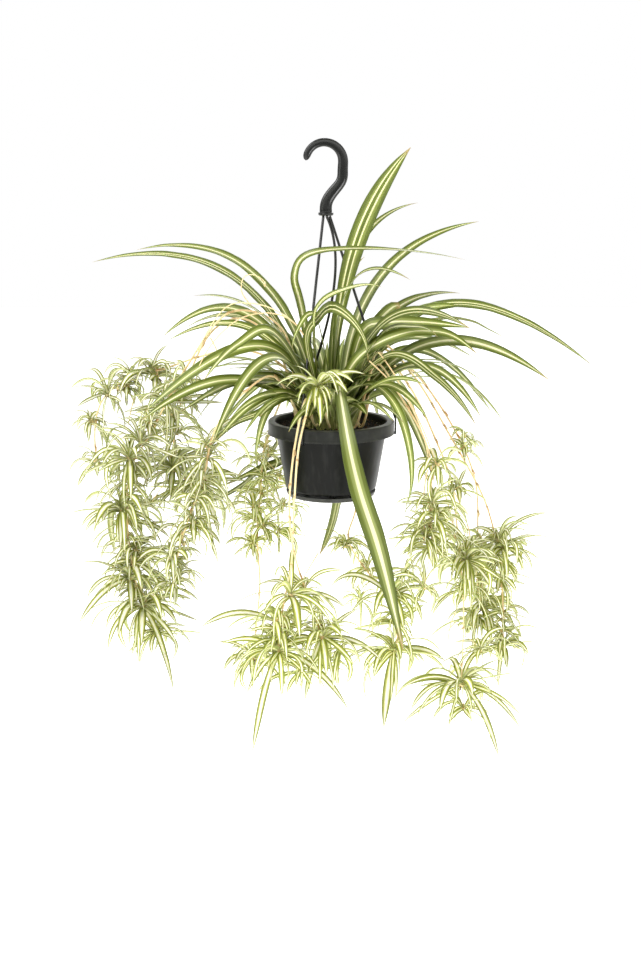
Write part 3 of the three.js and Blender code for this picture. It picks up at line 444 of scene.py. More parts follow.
# %% The stem tree
STALK, given = new_tree("stalk", {"Sides": "Int", "Finish": "Material"})
ring = add(STALK, "GeometryNodeCurvePrimitiveCircle", {"Resolution": given["Sides"], "Radius": 1.0})
half = add(STALK, "GeometryNodeInputNamedAttribute", {"Name": "half"}, data_type="FLOAT")
line = add(STALK, "GeometryNodeMeshToCurve", {"Mesh": given["Geometry"]})
swept = add(
    STALK, "GeometryNodeCurveToMesh", {"Curve": line, "Profile Curve": ring, "Scale": half, "Fill Caps": True}
)
end_tree(STALK, add(STALK, "GeometryNodeSetShadeSmooth", {"Geometry": swept}), given["Finish"])
print("the stem tree has", len(STALK.nodes), "nodes")


# %% Lines with attributes, as a mesh
def line_mesh(name, lines):
    """Each line is a dict: its points in mm, its half width in mm at each point, and attributes."""
    mesh = bpy.data.meshes.new(name)
    counts = [len(line["points"]) for line in lines]
    ends = set(np.cumsum(counts).tolist())
    points = np.vstack([line["points"] for line in lines]) * MM
    edges = [(i, i + 1) for i in range(len(points) - 1) if i + 1 not in ends]
    mesh.from_pydata(points.tolist(), edges, [])
    for key in lines[0]:
        if key == "points":
            continue
        spread = [np.broadcast_to(line[key], (n, *np.shape(line[key])[1:])) for n, line in zip(counts, lines)]
        values = np.concatenate(spread).astype(np.float32)
        if key == "half":
            values = values * np.float32(MM)
        kind, field = ("FLOAT_VECTOR", "vector") if values.ndim == 2 else ("FLOAT", "value")
        mesh.attributes.new(key, kind, "POINT").data.foreach_set(field, values.ravel())
    return mesh


def finished(piece, slot, *nodes):
    """A made piece rides on the one body of this plant, and stands for the solid nodes it replaces."""
    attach(piece, "root")
    if nodes:
        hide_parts(*nodes)
    return piece


print("lines become meshes of edges, and their attributes ride on the points")

# %% [markdown]
# ## Smooth lines and seeded draws
#
# To grow each leaf where its solid lies, the lesson repeats the rule that placed the solid: the same
# smooth line, the same seeded draws, and the same test for room between pieces. A given point is
# [x, z, depth]: where it is seen on the upright plane through the pot's axis, and how far
# behind that plane it really is.

# %% Lines
EYE = np.array([-14.0, -1992.0, 0.5])
UP = np.array([0.0, 0.0, 1.0])


def seen(point):
    x, z, depth = point
    share = (depth - EYE[1]) / -EYE[1]
    return np.array([EYE[0] + (x - EYE[0]) * share, depth, EYE[2] + (z - EYE[2]) * share])


def size(vectors):
    return np.sqrt((np.asarray(vectors) ** 2).sum(axis=-1))


def unit(vectors):
    vectors = np.asarray(vectors, float)
    return vectors / np.maximum(size(vectors)[..., None], 1e-12)


class Midrib:
    """A smooth line through a few points. Past each end it is taken to go on bending as it did."""

    def __init__(self, points):
        p = np.array(points, float)
        self.knots = np.vstack([(p[0] - p[1]) * 3 + p[2], p, (p[-1] - p[-2]) * 3 + p[-3]])

    def at(self, shares):
        t = np.atleast_1d(shares) * (len(self.knots) - 3)
        span = np.minimum(np.floor(t), len(self.knots) - 4).astype(int)
        u = (t - span)[:, None]
        a, b, c, d = (self.knots[span + i] for i in range(4))
        return b + 0.5 * u * (c - a + u * (2 * a - 5 * b + 4 * c - d + u * (3 * (b - c) + d - a)))


def evenly(line, count, fine=48):
    """Points at even distances along a line, from its start to its end."""
    points = line.at(np.linspace(0, 1, fine + 1))
    reached = np.concatenate([[0], np.cumsum(size(np.diff(points, axis=0)))])
    goals = reached[-1] * np.arange(count + 1) / count
    i = np.clip(np.searchsorted(reached, goals, "left") - 1, 0, fine - 1)
    share = ((goals - reached[i]) / (reached[i + 1] - reached[i]))[:, None]
    return points[i] + (points[i + 1] - points[i]) * share


def length_of(line, parts=200):
    return size(np.diff(line.at(np.linspace(0, 1, parts + 1)), axis=0)).sum()


SAMPLE = Midrib([[0, 0, 0], [50, 0, 30], [100, 0, 0]])
print("a line through three points is", round(length_of(SAMPLE)), "mm long")

# %% Seeded draws
WORD, STRIDE = 0xFFFFFFFF, 0x6D2B79F5
SEED = {
    "joints": 40, "chosen": 5000, "chosen_leaf": 331, "fill": 9000, "fill_leaf": 613, "foot": 4000,
    "plant": 7919, "young_leaf": 257, "denser": 90001, "tuft": 300007, "tuft_place": 700,
    "crown_blade": 11, "young_blade": 500, "tuft_blade": 900,
}  # what each use of chance starts from, and the steps from one leaf or plant to the next


def dice(seed):
    """A seeded random draw, the same in every run."""
    state = seed & WORD

    def draw(low, high):
        nonlocal state
        state = (state + STRIDE) & WORD
        t = ((state ^ (state >> 15)) * (state | 1)) & WORD
        t ^= (t + (((t ^ (t >> 7)) * (t | 61)) & WORD)) & WORD
        return low + ((high - low) * (t ^ (t >> 14))) / (WORD + 1)

    return draw


print("the first three draws of seed 1:", [round(dice(1)(0, 1), 4) for _ in range(3)])

# %% [markdown]
# ## Room between pieces
#
# Every stem and leaf is also a row of balls. A leaf that comes too near to another piece's balls is
# drawn again, a little shorter or shifted, until it has room. If it never has, it is left out.

# %% Balls that claim room
SPARE = 0.8
WIDEST_BALL = 8.0
ROUND_POT, OVER_POT, UNDER_POT = 4, 1, 12
taken = {"at": np.empty((0, 3)), "r": np.empty(0), "owner": np.empty(0, int)}
owners = {}


def claim(owner, at, r):
    number = owners.setdefault(owner, len(owners))
    taken["at"] = np.vstack([taken["at"], at])
    taken["r"] = np.concatenate([taken["r"], np.broadcast_to(r, len(at))])
    taken["owner"] = np.concatenate([taken["owner"], np.full(len(at), number)])


def in_pot(at, r):
    beside = np.hypot(at[:, 0], at[:, 1]) < RIM_RADIUS + ROUND_POT + r
    return beside & (at[:, 2] < RIM_TOP + r + OVER_POT) & (at[:, 2] > POT_BASE - UNDER_POT - r)


def has_room(owner, at, r, spare=SPARE):
    if in_pot(at, r).any():
        return False
    reach = r.max() + WIDEST_BALL + spare
    near = ((taken["at"] > at.min(0) - reach) & (taken["at"] < at.max(0) + reach)).all(1)
    near &= taken["owner"] != owners.get(owner, -1)
    gaps = size(at[:, None] - taken["at"][near][None])
    return not (gaps < r[:, None] + taken["r"][near] + spare).any()


print("pieces keep", SPARE, "mm more than touching apart")

# %% [markdown]
# ## Turned and moulded shapes
#
# The pot and the saucer are surfaces of revolution: a profile carried round the axis. A real
# moulding has no sharp corner, so each corner of the profile is replaced by a short curve first.


# %% Skins, and profiles carried round the axis
SHARP = math.radians(38)


def as_mesh(name, shape):
    made = bpy.data.meshes.new(name)
    shape.to_mesh(made)
    shape.free()
    return made


def skin(name, rings, finish, closed_ends=True):
    """Rings of points, in mm, skinned into one closed mesh. A ring of one point is a tip."""
    mesh = bmesh.new()
    rows = [[mesh.verts.new(Vector(point) * MM) for point in ring] for ring in rings]
    for here, there in zip(rows, rows[1:]):
        count = max(len(here), len(there))
        for k in range(count):
            side = (k + 1) % count
            if len(there) == 1:
                mesh.faces.new((here[k], here[side], there[0]))
            elif len(here) == 1:
                mesh.faces.new((here[0], there[side], there[k]))
            else:
                mesh.faces.new((here[k], here[side], there[side], there[k]))
    if closed_ends:
        for row in (rows[0], rows[-1]):
            if len(row) > 2:
                mesh.faces.new(row)
    bmesh.ops.recalc_face_normals(mesh, faces=mesh.faces)
    made = as_mesh(name, mesh)
    made.materials.append(finish)
    made.shade_smooth()
    made.set_sharp_from_angle(angle=SHARP)
    return placed(name, made)


def rounded(profile, cut=1.0, parts=4):
    """Each inner corner of a profile becomes a short curve that starts cut mm before it."""
    points = [np.array(p, float) for p in profile]
    made = [points[0]]
    for before, here, after in zip(points, points[1:], points[2:]):
        room = min(cut, 0.45 * size(before - here), 0.45 * size(after - here))
        start, end = here + unit(before - here) * room, here + unit(after - here) * room
        for t in np.linspace(0, 1, parts + 1):
            made.append((1 - t) ** 2 * start + 2 * t * (1 - t) * here + t**2 * end)
    return [*made, points[-1]]


def polar(radius, turn, *height):
    """A place at a radius and a turn round the upright axis, in plan or at a height."""
    return np.array([radius * math.cos(turn), radius * math.sin(turn), *height])


def circle(radius, sides, *height):
    return [polar(radius, turn, *height) for turn in np.linspace(0, 2 * math.pi, sides, endpoint=False)]


def turned(name, profile, finish, sides=120):
    """A profile of (radius, height) carried round the axis, on which it starts and ends."""
    rings = [circle(radius, sides, height) if radius > 0 else [(0, 0, height)] for radius, height in profile]
    return skin(name, rings, finish)


def merged(name, pieces):
    """Several pieces as one. The first one's materials are kept."""
    mesh = bmesh.new()
    for piece in pieces:
        mesh.from_mesh(piece.data)
    made = pieces[0].data.copy()
    mesh.to_mesh(made)
    mesh.free()
    for piece in pieces:
        bpy.data.objects.remove(piece)
    made.name = name
    return placed(name, made)


print("profiles are rounded with", len(rounded([(0, 0), (10, 0), (10, 10)])), "points for one corner")

# %% [markdown]
# ## The pot
#
# The wall leans out to a deep turned-down rim, which stiffens the thin plastic and gives the
# hanger's clips an edge to hold. A fine bead runs round the rim's lower edge. Six drain holes pass
# through the floor. They are cut with a Boolean modifier, which is then applied.

# %% Pot with drain holes
BEAD = 0.7
pot_profile = [
    (0, POT_BASE), (60, POT_BASE), (61.5, POT_BASE + 2), (63.2, POT_BASE + 12), (75.8, RIM_TOP - 6),
    (77, RIM_TOP - 2.2), (83.4, RIM_TOP - 2.2), (83.9, RIM_TOP - RIM_SKIRT),
    (RIM_RADIUS + 0.6, RIM_TOP - RIM_SKIRT), (RIM_RADIUS + 0.6, RIM_TOP - RIM_SKIRT + 2 * BEAD),
    (RIM_RADIUS - 0.1, RIM_TOP - RIM_SKIRT + 2.6 * BEAD), (RIM_RADIUS, RIM_TOP - 1.2), (84, RIM_TOP),
    (76, RIM_TOP), (74.6, RIM_TOP - 2), (74, SOIL_TOP), (60.5, POT_BASE + 8), (58, POT_FLOOR), (0, POT_FLOOR),
]
pot = turned("pot_moulded", rounded(pot_profile, 0.9), POT_PLASTIC)
DRAINS = [math.radians(60 * i + 30) for i in range(6)]
drill = bmesh.new()
for angle in DRAINS:
    centre = Vector(polar(PEG_CIRCLE, angle, POT_BASE + 2)) * MM
    bmesh.ops.create_cone(
        drill, cap_ends=True, segments=28, radius1=DRAIN_RADIUS * MM, radius2=DRAIN_RADIUS * MM,
        depth=12 * MM, matrix=Matrix.Translation(centre),
    )
cutter = placed("drill", as_mesh("drill", drill))
cut = pot.modifiers.new("drains", "BOOLEAN")
cut.operation, cut.object, cut.solver = "DIFFERENCE", cutter, "EXACT"
graph = bpy.context.evaluated_depsgraph_get()
drilled = bpy.data.meshes.new_from_object(pot.evaluated_get(graph), depsgraph=graph)
pot.modifiers.clear()
pot.data = drilled
bpy.data.objects.remove(cutter)
finished(pot, "black_plastic", "pot")
print("the pot has", len(pot.data.polygons), "faces")

# %% [markdown]
# ## The saucer
#
# A shallow dish clips under the pot. Three of its pegs stand in every other drain hole, and an air
# gap is left above its edge.

# %% Saucer and its pegs
saucer_profile = [
    (0, SAUCER_BASE), (54, SAUCER_BASE), (59, SAUCER_BASE + 1.5), (SAUCER_RADIUS, SAUCER_BASE + 6.7),
    (SAUCER_RADIUS - 1.4, SAUCER_BASE + 6.9), (57.6, SAUCER_BASE + 2.9), (53.6, SAUCER_BASE + 1.5),
    (0, SAUCER_BASE + 1.5),
]
pieces = [turned("saucer_dish", rounded(saucer_profile, 0.5), SAUCER_PLASTIC)]
PEG_FOOT = SAUCER_BASE + 0.5
PEG_PROFILE = [(PEG_RADIUS, PEG_FOOT), (PEG_RADIUS, POT_FLOOR - 0.8), (PEG_RADIUS - 0.6, POT_FLOOR)]
for angle in DRAINS[::2]:
    middle = polar(PEG_CIRCLE, angle, 0)
    rings = [[(*middle[:2], PEG_FOOT)]]
    for radius, height in PEG_PROFILE:
        rings.append([middle + point for point in circle(radius, 24, height)])
    rings.append([(*middle[:2], POT_FLOOR)])
    pieces.append(skin("peg", rings, SAUCER_PLASTIC))
saucer = finished(merged("saucer_moulded", pieces), "black_plastic", "saucer")
print("the saucer has", len(saucer.data.polygons), "faces")

# %% [markdown]
# ## The hook and its collar
#
# The hook is a flat bar bent to an open arch, whose neck leans back over the collar. Its section has
# a bead along each edge and a thinner web between, so it is skinned from many copies of one section.
# The tip is rounded off, and the collar is a thin flange that the strands hang from.

# %% Hook
COLLAR = np.array([-7.3, 0.0, -82.0])
COLLAR_RADIUS, COLLAR_HEIGHT = 10, 4.5
ARCH = {"x": -10, "z": -16.7, "tip": 23.5, "crown": 25.8, "from": 178, "to": -20, "points": 12}
NECK = [[14, -41], [1, -57], [-6.6, -69], [COLLAR[0], COLLAR[2]]]
BAR_WIDTHS = [[0, 0.25, 0.5, 0.625, 0.72, 1], [10.0, 10.9, 13.2, 14.0, 14.0, 16.4]]  # shares, and mm
WEB_HALF, BEAD_ADDS = 2.3, 1.7  # half the bar's thickness in its web, and what a bead adds to it
SQUARE_OUT, SQUARE_THICK = 0.62, 0.55  # powers that make the round section squarish
HOOK_BALL = 7.0


def hook_line():
    points = []
    for i in range(ARCH["points"]):
        share = i / (ARCH["points"] - 1)
        turn = math.radians(ARCH["from"] + (ARCH["to"] - ARCH["from"]) * share)
        radius = ARCH["tip"] + (ARCH["crown"] - ARCH["tip"]) * share
        points.append([ARCH["x"] + radius * math.cos(turn), 0, ARCH["z"] + radius * math.sin(turn)])
    return Midrib([*points, *([x, 0, z] for x, z in NECK)])


def eased(points, times):
    """Each point is averaged with its neighbours, some times over. The ends stay."""
    points = points.copy()
    for _ in range(times):
        points[1:-1] = (points[:-2] + 2 * points[1:-1] + points[2:]) / 4
    return points


def hook_section(width, scale, sides=32):
    """Points (out, thick) round the section: squarish, thickest in a bead along each edge."""
    made = []
    for a in np.linspace(0, 2 * math.pi, sides, endpoint=False):
        out = math.copysign(abs(math.cos(a)) ** SQUARE_OUT, math.cos(a))
        bead = WEB_HALF + BEAD_ADDS * min(abs(out) / 0.7, 1) ** 4
        thick = math.copysign(abs(math.sin(a)) ** SQUARE_THICK, math.sin(a)) * bead
        made.append((out * width / 2 * scale, thick * scale))
    return made


def make_hook(steps=110, rounding=7):
    """The bar, whose first steps are rounded off to a tip."""
    middle = eased(evenly(hook_line(), steps, fine=400), 30)
    along = unit(np.gradient(middle, axis=0))
    rings = [[middle[0]]]
    for i in range(1, steps + 1):
        width = np.interp(i / steps, *BAR_WIDTHS)
        scale = math.sqrt(1 - (1 - min(i / rounding, 1)) ** 2)
        side = np.array([along[i][2], 0, -along[i][0]])
        rings.append([middle[i] + side * u + np.array([0, v, 0]) for u, v in hook_section(width, scale)])
    return skin("hook_arch", rings, HOOK_PLASTIC)


def make_collar():
    top, low = COLLAR[2], COLLAR[2] - COLLAR_HEIGHT
    profile = [(0, top + 2.5), (6, top + 2.2), (7.5, top), (COLLAR_RADIUS, top - 0.6),
               (COLLAR_RADIUS, low + 1.2), (COLLAR_RADIUS - 1.2, low), (0, low)]
    collar = turned("collar", rounded(profile, 0.7), HOOK_PLASTIC, 48)
    collar.data.transform(Matrix.Translation(Vector((COLLAR[0] * MM, 0, 0))))
    return collar


hook = finished(merged("hook_moulded", [make_hook(), make_collar()]), "black_plastic", "hook")
claim("hook", evenly(hook_line(), 60), HOOK_BALL)
print("the hook has", len(hook.data.polygons), "faces")

# %% [markdown]
# ## The strands
#
# Three thin strands run from the collar to the rim, each ending in a clip tab that is pushed over
# the rim's skirt. A strand is a stem with no knots, so the stem tree makes it too.

# %% Strands and their tabs
STRANDS = {
    "strand_left": {"x": -10.5, "angle": 242},
    "strand_back": {"x": -6.4, "angle": 122, "bow": [2, -190, 26]},
    "strand_right": {"x": -2.2, "angle": 2},
}
STRAND_RADIUS = 1.5
TAB_WIDTH, TAB_THICKNESS, TAB_INNER, TAB_FOOT, TAB_ABOVE = 9, 2, RIM_RADIUS + 1, 3.6, 5


def plate(low, high, bevel=0.55):
    """A block between two corners, in mm, with rounded edges."""
    mesh = bmesh.new()
    bmesh.ops.create_cube(mesh, size=1.0)
    low, high = Vector(low) * MM, Vector(high) * MM
    for corner in mesh.verts:
        corner.co = Vector(low[i] if corner.co[i] < 0 else high[i] for i in range(3))
    bmesh.ops.bevel(mesh, geom=mesh.edges[:], offset=bevel * MM, segments=3, affect="EDGES", profile=0.5)
    return mesh


def make_tab(turn):
    drop = RIM_SKIRT + 2 + CLEARANCE
    outer, deep, width = TAB_INNER + TAB_THICKNESS, TAB_FOOT + TAB_THICKNESS, TAB_WIDTH / 2
    blocks = [
        ((TAB_INNER, -width, RIM_TOP - drop), (outer, width, RIM_TOP + TAB_ABOVE)),
        ((outer - deep, -width, RIM_TOP - drop), (outer, width, RIM_TOP - drop + 2)),
        ((TAB_INNER + 0.2, -2.6, RIM_TOP + TAB_ABOVE - 4), (outer - 0.2, 2.6, RIM_TOP + TAB_ABOVE + 2.5)),
    ]
    tab = bmesh.new()
    for low, high in blocks:
        block = as_mesh("block", plate(low, high))
        tab.from_mesh(block)
        bpy.data.meshes.remove(block)
    bmesh.ops.transform(tab, matrix=Matrix.Rotation(turn, 4, "Z"), verts=tab.verts)
    made = as_mesh("tab", tab)
    made.materials.append(HOOK_PLASTIC)
    return placed("tab", made)


for name, strand in STRANDS.items():
    turn = math.radians(strand["angle"])
    start = np.array([strand["x"], 0, COLLAR[2] - COLLAR_HEIGHT - 2 * CLEARANCE])
    end = polar(TAB_INNER + TAB_THICKNESS / 2, turn, RIM_TOP + 2)
    middle = seen(strand["bow"]) if "bow" in strand else (start + end) / 2
    line = Midrib([start, middle, end])
    cord = {"points": evenly(line, 48, fine=200), "half": STRAND_RADIUS * 1.2, "knot": 0.0}
    tube = grown("strand", line_mesh("strand", [cord]), STALK, Sides=14, Finish=HOOK_PLASTIC)
    finished(merged(name + "_moulded", [tube, make_tab(turn)]), "black_plastic", name)
    claim(name, evenly(line, 70), STRAND_RADIUS)
print(len(STRANDS), "strands hang from the collar")

# %% [markdown]
# ## The compost
#
# The compost's top is a disc of rings, raised and lowered by three sizes of noise, and its underside
# follows the pot. Loose crumbs are scattered by a third tree, which strews points on the surface,
# puts a lump on each and makes the lumps real.

# %% Compost
SOIL_SIDE, SOIL_INNER = 73.4, 28
SOIL_RINGS, SOIL_SIDES = 44, 180
LUMPS = [(0.09, 0, 2.2), (0.33, 7, 1.3), (0.9, 3, 0.7)]  # patches to the mm, layer of noise, mm high


def soil_height(x, y):
    rough = sum(noise.noise(Vector((x, y, layer)) * scale) * high for scale, layer, high in LUMPS)
    edge = min(1.0, (SOIL_SIDE - math.hypot(x, y)) / 5)
    return SOIL_TOP - 0.4 + rough * max(edge, 0.25)


rings = [circle(radius, SOIL_SIDES) for radius in np.linspace(SOIL_SIDE, SOIL_INNER, SOIL_RINGS)]
top = [[(x, y, soil_height(x, y)) for x, y in ring] for ring in rings]
floor = POT_FLOOR + CLEARANCE
under = [
    [(x * radius / SOIL_SIDE, y * radius / SOIL_SIDE, height) for x, y, _ in top[0]]
    for radius, height in [(0.4 * SOIL_SIDE, floor), (57.5, floor), (60, POT_BASE + 8)]
]
soil = skin("compost_heap", [[(0, 0, floor)], *under, *top, [(0, 0, SOIL_TOP)]], PEAT)
finished(soil, "compost", "soil")
print("the compost has", len(soil.data.polygons), "faces")

# %% Crumbs
CRUMBS, given = new_tree(
    "crumbs",
    {"Density": "Float", "Smallest": "Float", "Largest": "Float", "Seed": "Int", "Finish": "Material"},
)
points = add(
    CRUMBS, "GeometryNodeDistributePointsOnFaces",
    {"Mesh": given["Geometry"], "Density": given["Density"], "Seed": given["Seed"]},
)
lump = add(CRUMBS, "GeometryNodeMeshIcoSphere", {"Radius": 1.0, "Subdivisions": 1})
turn = add(
    CRUMBS, "FunctionNodeRandomValue",
    {"Min": (0.0, 0.0, 0.0), "Max": (6.3, 6.3, 6.3), "Seed": given["Seed"]}, data_type="FLOAT_VECTOR",
)
grade = add(
    CRUMBS, "FunctionNodeRandomValue",
    {"Min": given["Smallest"], "Max": given["Largest"], "Seed": given["Seed"]}, data_type="FLOAT",
)
shape = add(
    CRUMBS, "FunctionNodeRandomValue", {"Min": (0.6, 0.6, 0.4), "Max": (1.5, 1.1, 0.8), "Seed": 5},
    data_type="FLOAT_VECTOR",
)
scale = add(CRUMBS, "ShaderNodeVectorMath", {0: shape, "Scale": grade}, operation="SCALE")
strewn = add(
    CRUMBS, "GeometryNodeInstanceOnPoints",
    {"Points": points, "Instance": lump, "Rotation": turn, "Scale": scale},
)
end_tree(CRUMBS, strewn, given["Finish"])
surface = skin("surface", top[1:], PEAT, closed_ends=False)
for name, finish, density, grades, seed in [
    ("peat_crumbs", PEAT, 120000.0, (0.0006, 0.0017), 1),
    ("bark_crumbs", BARK, 9000.0, (0.0007, 0.0022), 2),
    ("grit_crumbs", GRIT, 2600.0, (0.0005, 0.0011), 3),
]:
    crumbs = grown(
        name, surface.data, CRUMBS, Density=density, Smallest=grades[0], Largest=grades[1], Seed=seed,
        Finish=finish,
    )
    finished(crumbs, "compost")
    print(name, "has", len(crumbs.data.polygons), "faces")
bpy.data.objects.remove(surface)

# %% [markdown]
# ## The runners
#
# Each runner leaves the side of the crown and passes a few given points. It thickens and
# browns at its joints, which lie a few centimetres apart.

# %% Where the runners go
RUNNERS = {
    "a": {"root": 196, "through": [
        [-62, -240, -14], [-134, -213, -35], [-196, -290, -50], [-243, -375, -55],
        [-272, -425, -52], [-279, -490, -50], [-273, -560, -48], [-262, -615, -45],
    ]},
    "b": {"root": 168, "through": [
        [-70, -262, 22], [-115, -222, 35], [-160, -240, 42], [-195, -310, 45],
        [-212, -385, 45], [-208, -425, 42], [-190, -445, 40],
    ]},
    "c": {"root": 215, "through": [
        [-75, -300, -55], [-118, -322, -85], [-157, -372, -100], [-171, -427, -100],
        [-190, -483, -95], [-207, -532, -90], [-216, -585, -85],
    ]},
    "d": {"root": 182, "through": [
        [-60, -290, 2], [-120, -262, 4], [-175, -272, 8], [-228, -290, 15],
        [-275, -303, 20], [-312, -340, 20], [-318, -410, 15],
    ]},
    "e": {"root": 265, "through": [
        [-20, -318, -78], [-42, -386, -120], [-50, -469, -122], [-54, -554, -115],
        [-62, -600, -110], [-70, -645, -105], [-72, -680, -102],
    ]},
    "f": {"root": 240, "through": [
        [-34, -330, -72], [-50, -400, -98], [-57, -483, -98], [-50, -545, -96],
        [-34, -600, -93], [-14, -660, -90],
    ]},
    "g": {"root": 130, "through": [
        [-55, -312, 66], [-88, -390, 108], [-97, -469, 115], [-101, -525, 112],
        [-98, -588, 105], [-104, -650, 100], [-109, -690, 98],
    ]},
    "h": {"root": 66, "through": [
        [30, -302, 78], [42, -400, 118], [34, -480, 120], [24, -525, 118],
        [50, -570, 112], [82, -610, 105], [92, -655, 100], [89, -680, 98],
    ]},
    "i": {"root": 318, "through": [
        [59, -283, -42], [92, -324, -62], [127, -386, -72], [137, -430, -72],
        [134, -469, -70], [137, -505, -68], [139, -533, -66],
    ]},
    "j": {"root": 343, "through": [
        [60, -268, -20], [105, -312, -26], [148, -400, -26], [165, -450, -22],
        [172, -500, -22], [179, -560, -22], [184, -620, -22], [184, -690, -22],
        [183, -728, -22],
    ]},
    "k": {"root": 8, "through": [
        [62, -255, 15], [112, -300, 35], [161, -380, 50], [203, -455, 52],
        [220, -500, 52], [230, -545, 50], [238, -610, 50], [240, -672, 50],
    ]},
    "l": {"root": 40, "through": [
        [55, -262, 52], [110, -292, 80], [163, -365, 96], [196, -441, 98],
        [202, -525, 92], [208, -600, 85], [200, -640, 80], [182, -652, 76],
    ]},
}
CHORD_PARTS = 8


def runner_line(runner):
    turn = math.radians(runner["root"])
    start = CROWN_RADIUS + CLEARANCE + 0.4
    leaving = [polar(start, turn, SOIL_TOP + 8), polar(start + 12, turn, SOIL_TOP + 12)]
    return Midrib([*leaving, *(seen(point) for point in runner["through"])])


def chords(points, parts):
    """The straight stretches between points, each cut into parts."""
    cuts = [a + (b - a) * k / parts for a, b in zip(points, points[1:]) for k in range(parts)]
    return np.array([*cuts, points[-1]])


runner_lines, runner_chords = {}, {}
for name, runner in RUNNERS.items():
    runner_lines[name] = runner_line(runner)
    middle = evenly(runner_lines[name], 2 * len(runner["through"]) + 2)
    runner_chords[name] = chords(middle, CHORD_PARTS)
    claim("runner_" + name, runner_chords[name], RUNNER_RADIUS + CLEARANCE)
print(len(runner_lines), "runners,", round(sum(map(length_of, runner_lines.values()))), "mm in all")

# %% Runners with their joints
JOINT_GAP, JOINT_LENGTH = 46, 2.6
BARE_END = 12


def stalks(name, lines, sides, finish, *nodes):
    """Lines that the stem tree sweeps, as one piece among the runners."""
    made = grown(name, line_mesh("lines", lines), STALK, Sides=sides, Finish=finish)
    return finished(made, "runner_stem", *nodes)


joints = []
for number, (name, line) in enumerate(runner_lines.items()):
    draw = dice(SEED["joints"] + number)
    length = length_of(line)
    points = evenly(line, int(length / 4), fine=400)
    reached = np.linspace(0, length, len(points))
    half = RUNNER_RADIUS * (1.15 - 0.45 * reached / length)
    knot = np.zeros(len(points))
    place = draw(25, 60)
    while place < length - BARE_END:
        bulge = np.exp(-(((reached - place) / JOINT_LENGTH) ** 2))
        knot = np.maximum(knot, bulge)
        i = int(np.argmin(abs(reached - place)))
        joints.append((points[i], unit(points[min(i + 1, len(points) - 1)] - points[i - 1]), draw))
        place += JOINT_GAP * draw(0.7, 1.3)
    tube = {"points": points, "half": half * (1 + 0.35 * knot), "knot": knot}
    stalks("stem_" + name, [tube], 10, STEM, "runner_" + name)
print(len(joints), "joints on the runners")

# %% Thin side shoots, and a loop that carries a flower bud
SHOOTS = [
    [[-17, -543, 112], [-28, -562, 108], [-41, -585, 104]],
    [[-261, -319, 18], [-266, -332, 18], [-274, -365, 16]],
    [[-161, -247, 36], [-153, -263, 30], [-146, -280, 24]],
    [[173, -629, -22], [165, -655, -22], [164, -684, -24]],
    [[131, -427, -60], [126, -476, -60], [131, -525, -60], [142, -568, -60]],
    [[149, -441, 20], [166, -497, 20], [178, -554, 20], [183, -597, 20]],
    [[162, -447, 40], [185, -497, 40], [197, -554, 40], [204, -597, 40]],
    [[51, -278, -88], [82, -308, -88], [104, -334, -88], [123, -375, -88], [132, -413, -88]],
    [[63, -266, -80], [82, -292, -80], [98, -320, -80], [115, -351, -80],
     [134, -395, -80], [149, -441, -80]],
    [[-43, -233, -64], [-64, -218, -64], [-92, -214, -64], [-124, -223, -64],
     [-155, -250, -64], [-178, -288, -64]],
    [[-37, -243, -74], [-55, -222, -74], [-81, -207, -74], [-107, -201, -74],
     [-134, -203, -74], [-157, -226, -74], [-178, -266, -74]],
    [[-66, -239, -16], [-92, -217, -24], [-109, -201, -30], [-119, -184, -32], [-115, -166, -32],
     [-101, -164, -30], [-88, -173, -28]],
]
SHOOT_HALF = (0.95, 0.6)  # half a shoot's width at its start and at its end
FLOWER_BUD = np.array([[-1.0, 0.5], [1.0, 1.4], [3.0, 1.7], [5.0, 1.2], [6.5, 0.3]])  # below, half wide
shoots = []
for shoot in SHOOTS:
    points = evenly(Midrib([seen(point) for point in shoot]), 4 * len(shoot), fine=200)
    shoots.append({"points": points, "half": np.linspace(*SHOOT_HALF, len(points)), "knot": 0.0})
below, half = FLOWER_BUD.T
shoots.append({"points": shoots[-1]["points"][-1] - UP * below[:, None], "half": half, "knot": 0.35})
stalks("side_shoots", shoots, 8, STEM)
print(len(SHOOTS), "thin side shoots")

# %% [markdown]
# ## Leaves by rule
#
# A leaf has a line down its middle, a width, and an across direction that is level and at right
# angles to the way it leans. Its stations give, at even distances, its middle and the half-width
# vector to one edge.

# %% Stations, balls and bends
OUTLINE = [[0, 0.45], [0.2, 0.8], [0.4, 1], [0.7, 0.85], [0.9, 0.45], [1, 0]]
BALL_STEP, ROOT_FREE, NARROW = 4, 4.5, 4


def facing_of(leaf, middle):
    """At each point of its middle, the way across a leaf and the way its face looks, before its roll."""
    i = np.arange(len(middle))
    along = unit(middle[np.minimum(i + 1, i[-1])] - middle[np.maximum(i - 1, 0)])
    flat = unit(leaf["across"] - along * (along @ leaf["across"])[:, None])
    return flat, np.cross(flat, along)


def stations(leaf, steps):
    middle = evenly(leaf["line"], steps)
    flat, face = facing_of(leaf, middle)
    edge = flat * math.cos(leaf["roll"]) - face * math.sin(leaf["roll"])
    outline = np.interp(np.arange(steps + 1) / steps, *np.transpose(OUTLINE))
    return middle, edge * (outline * leaf["width"] / 2)[:, None]


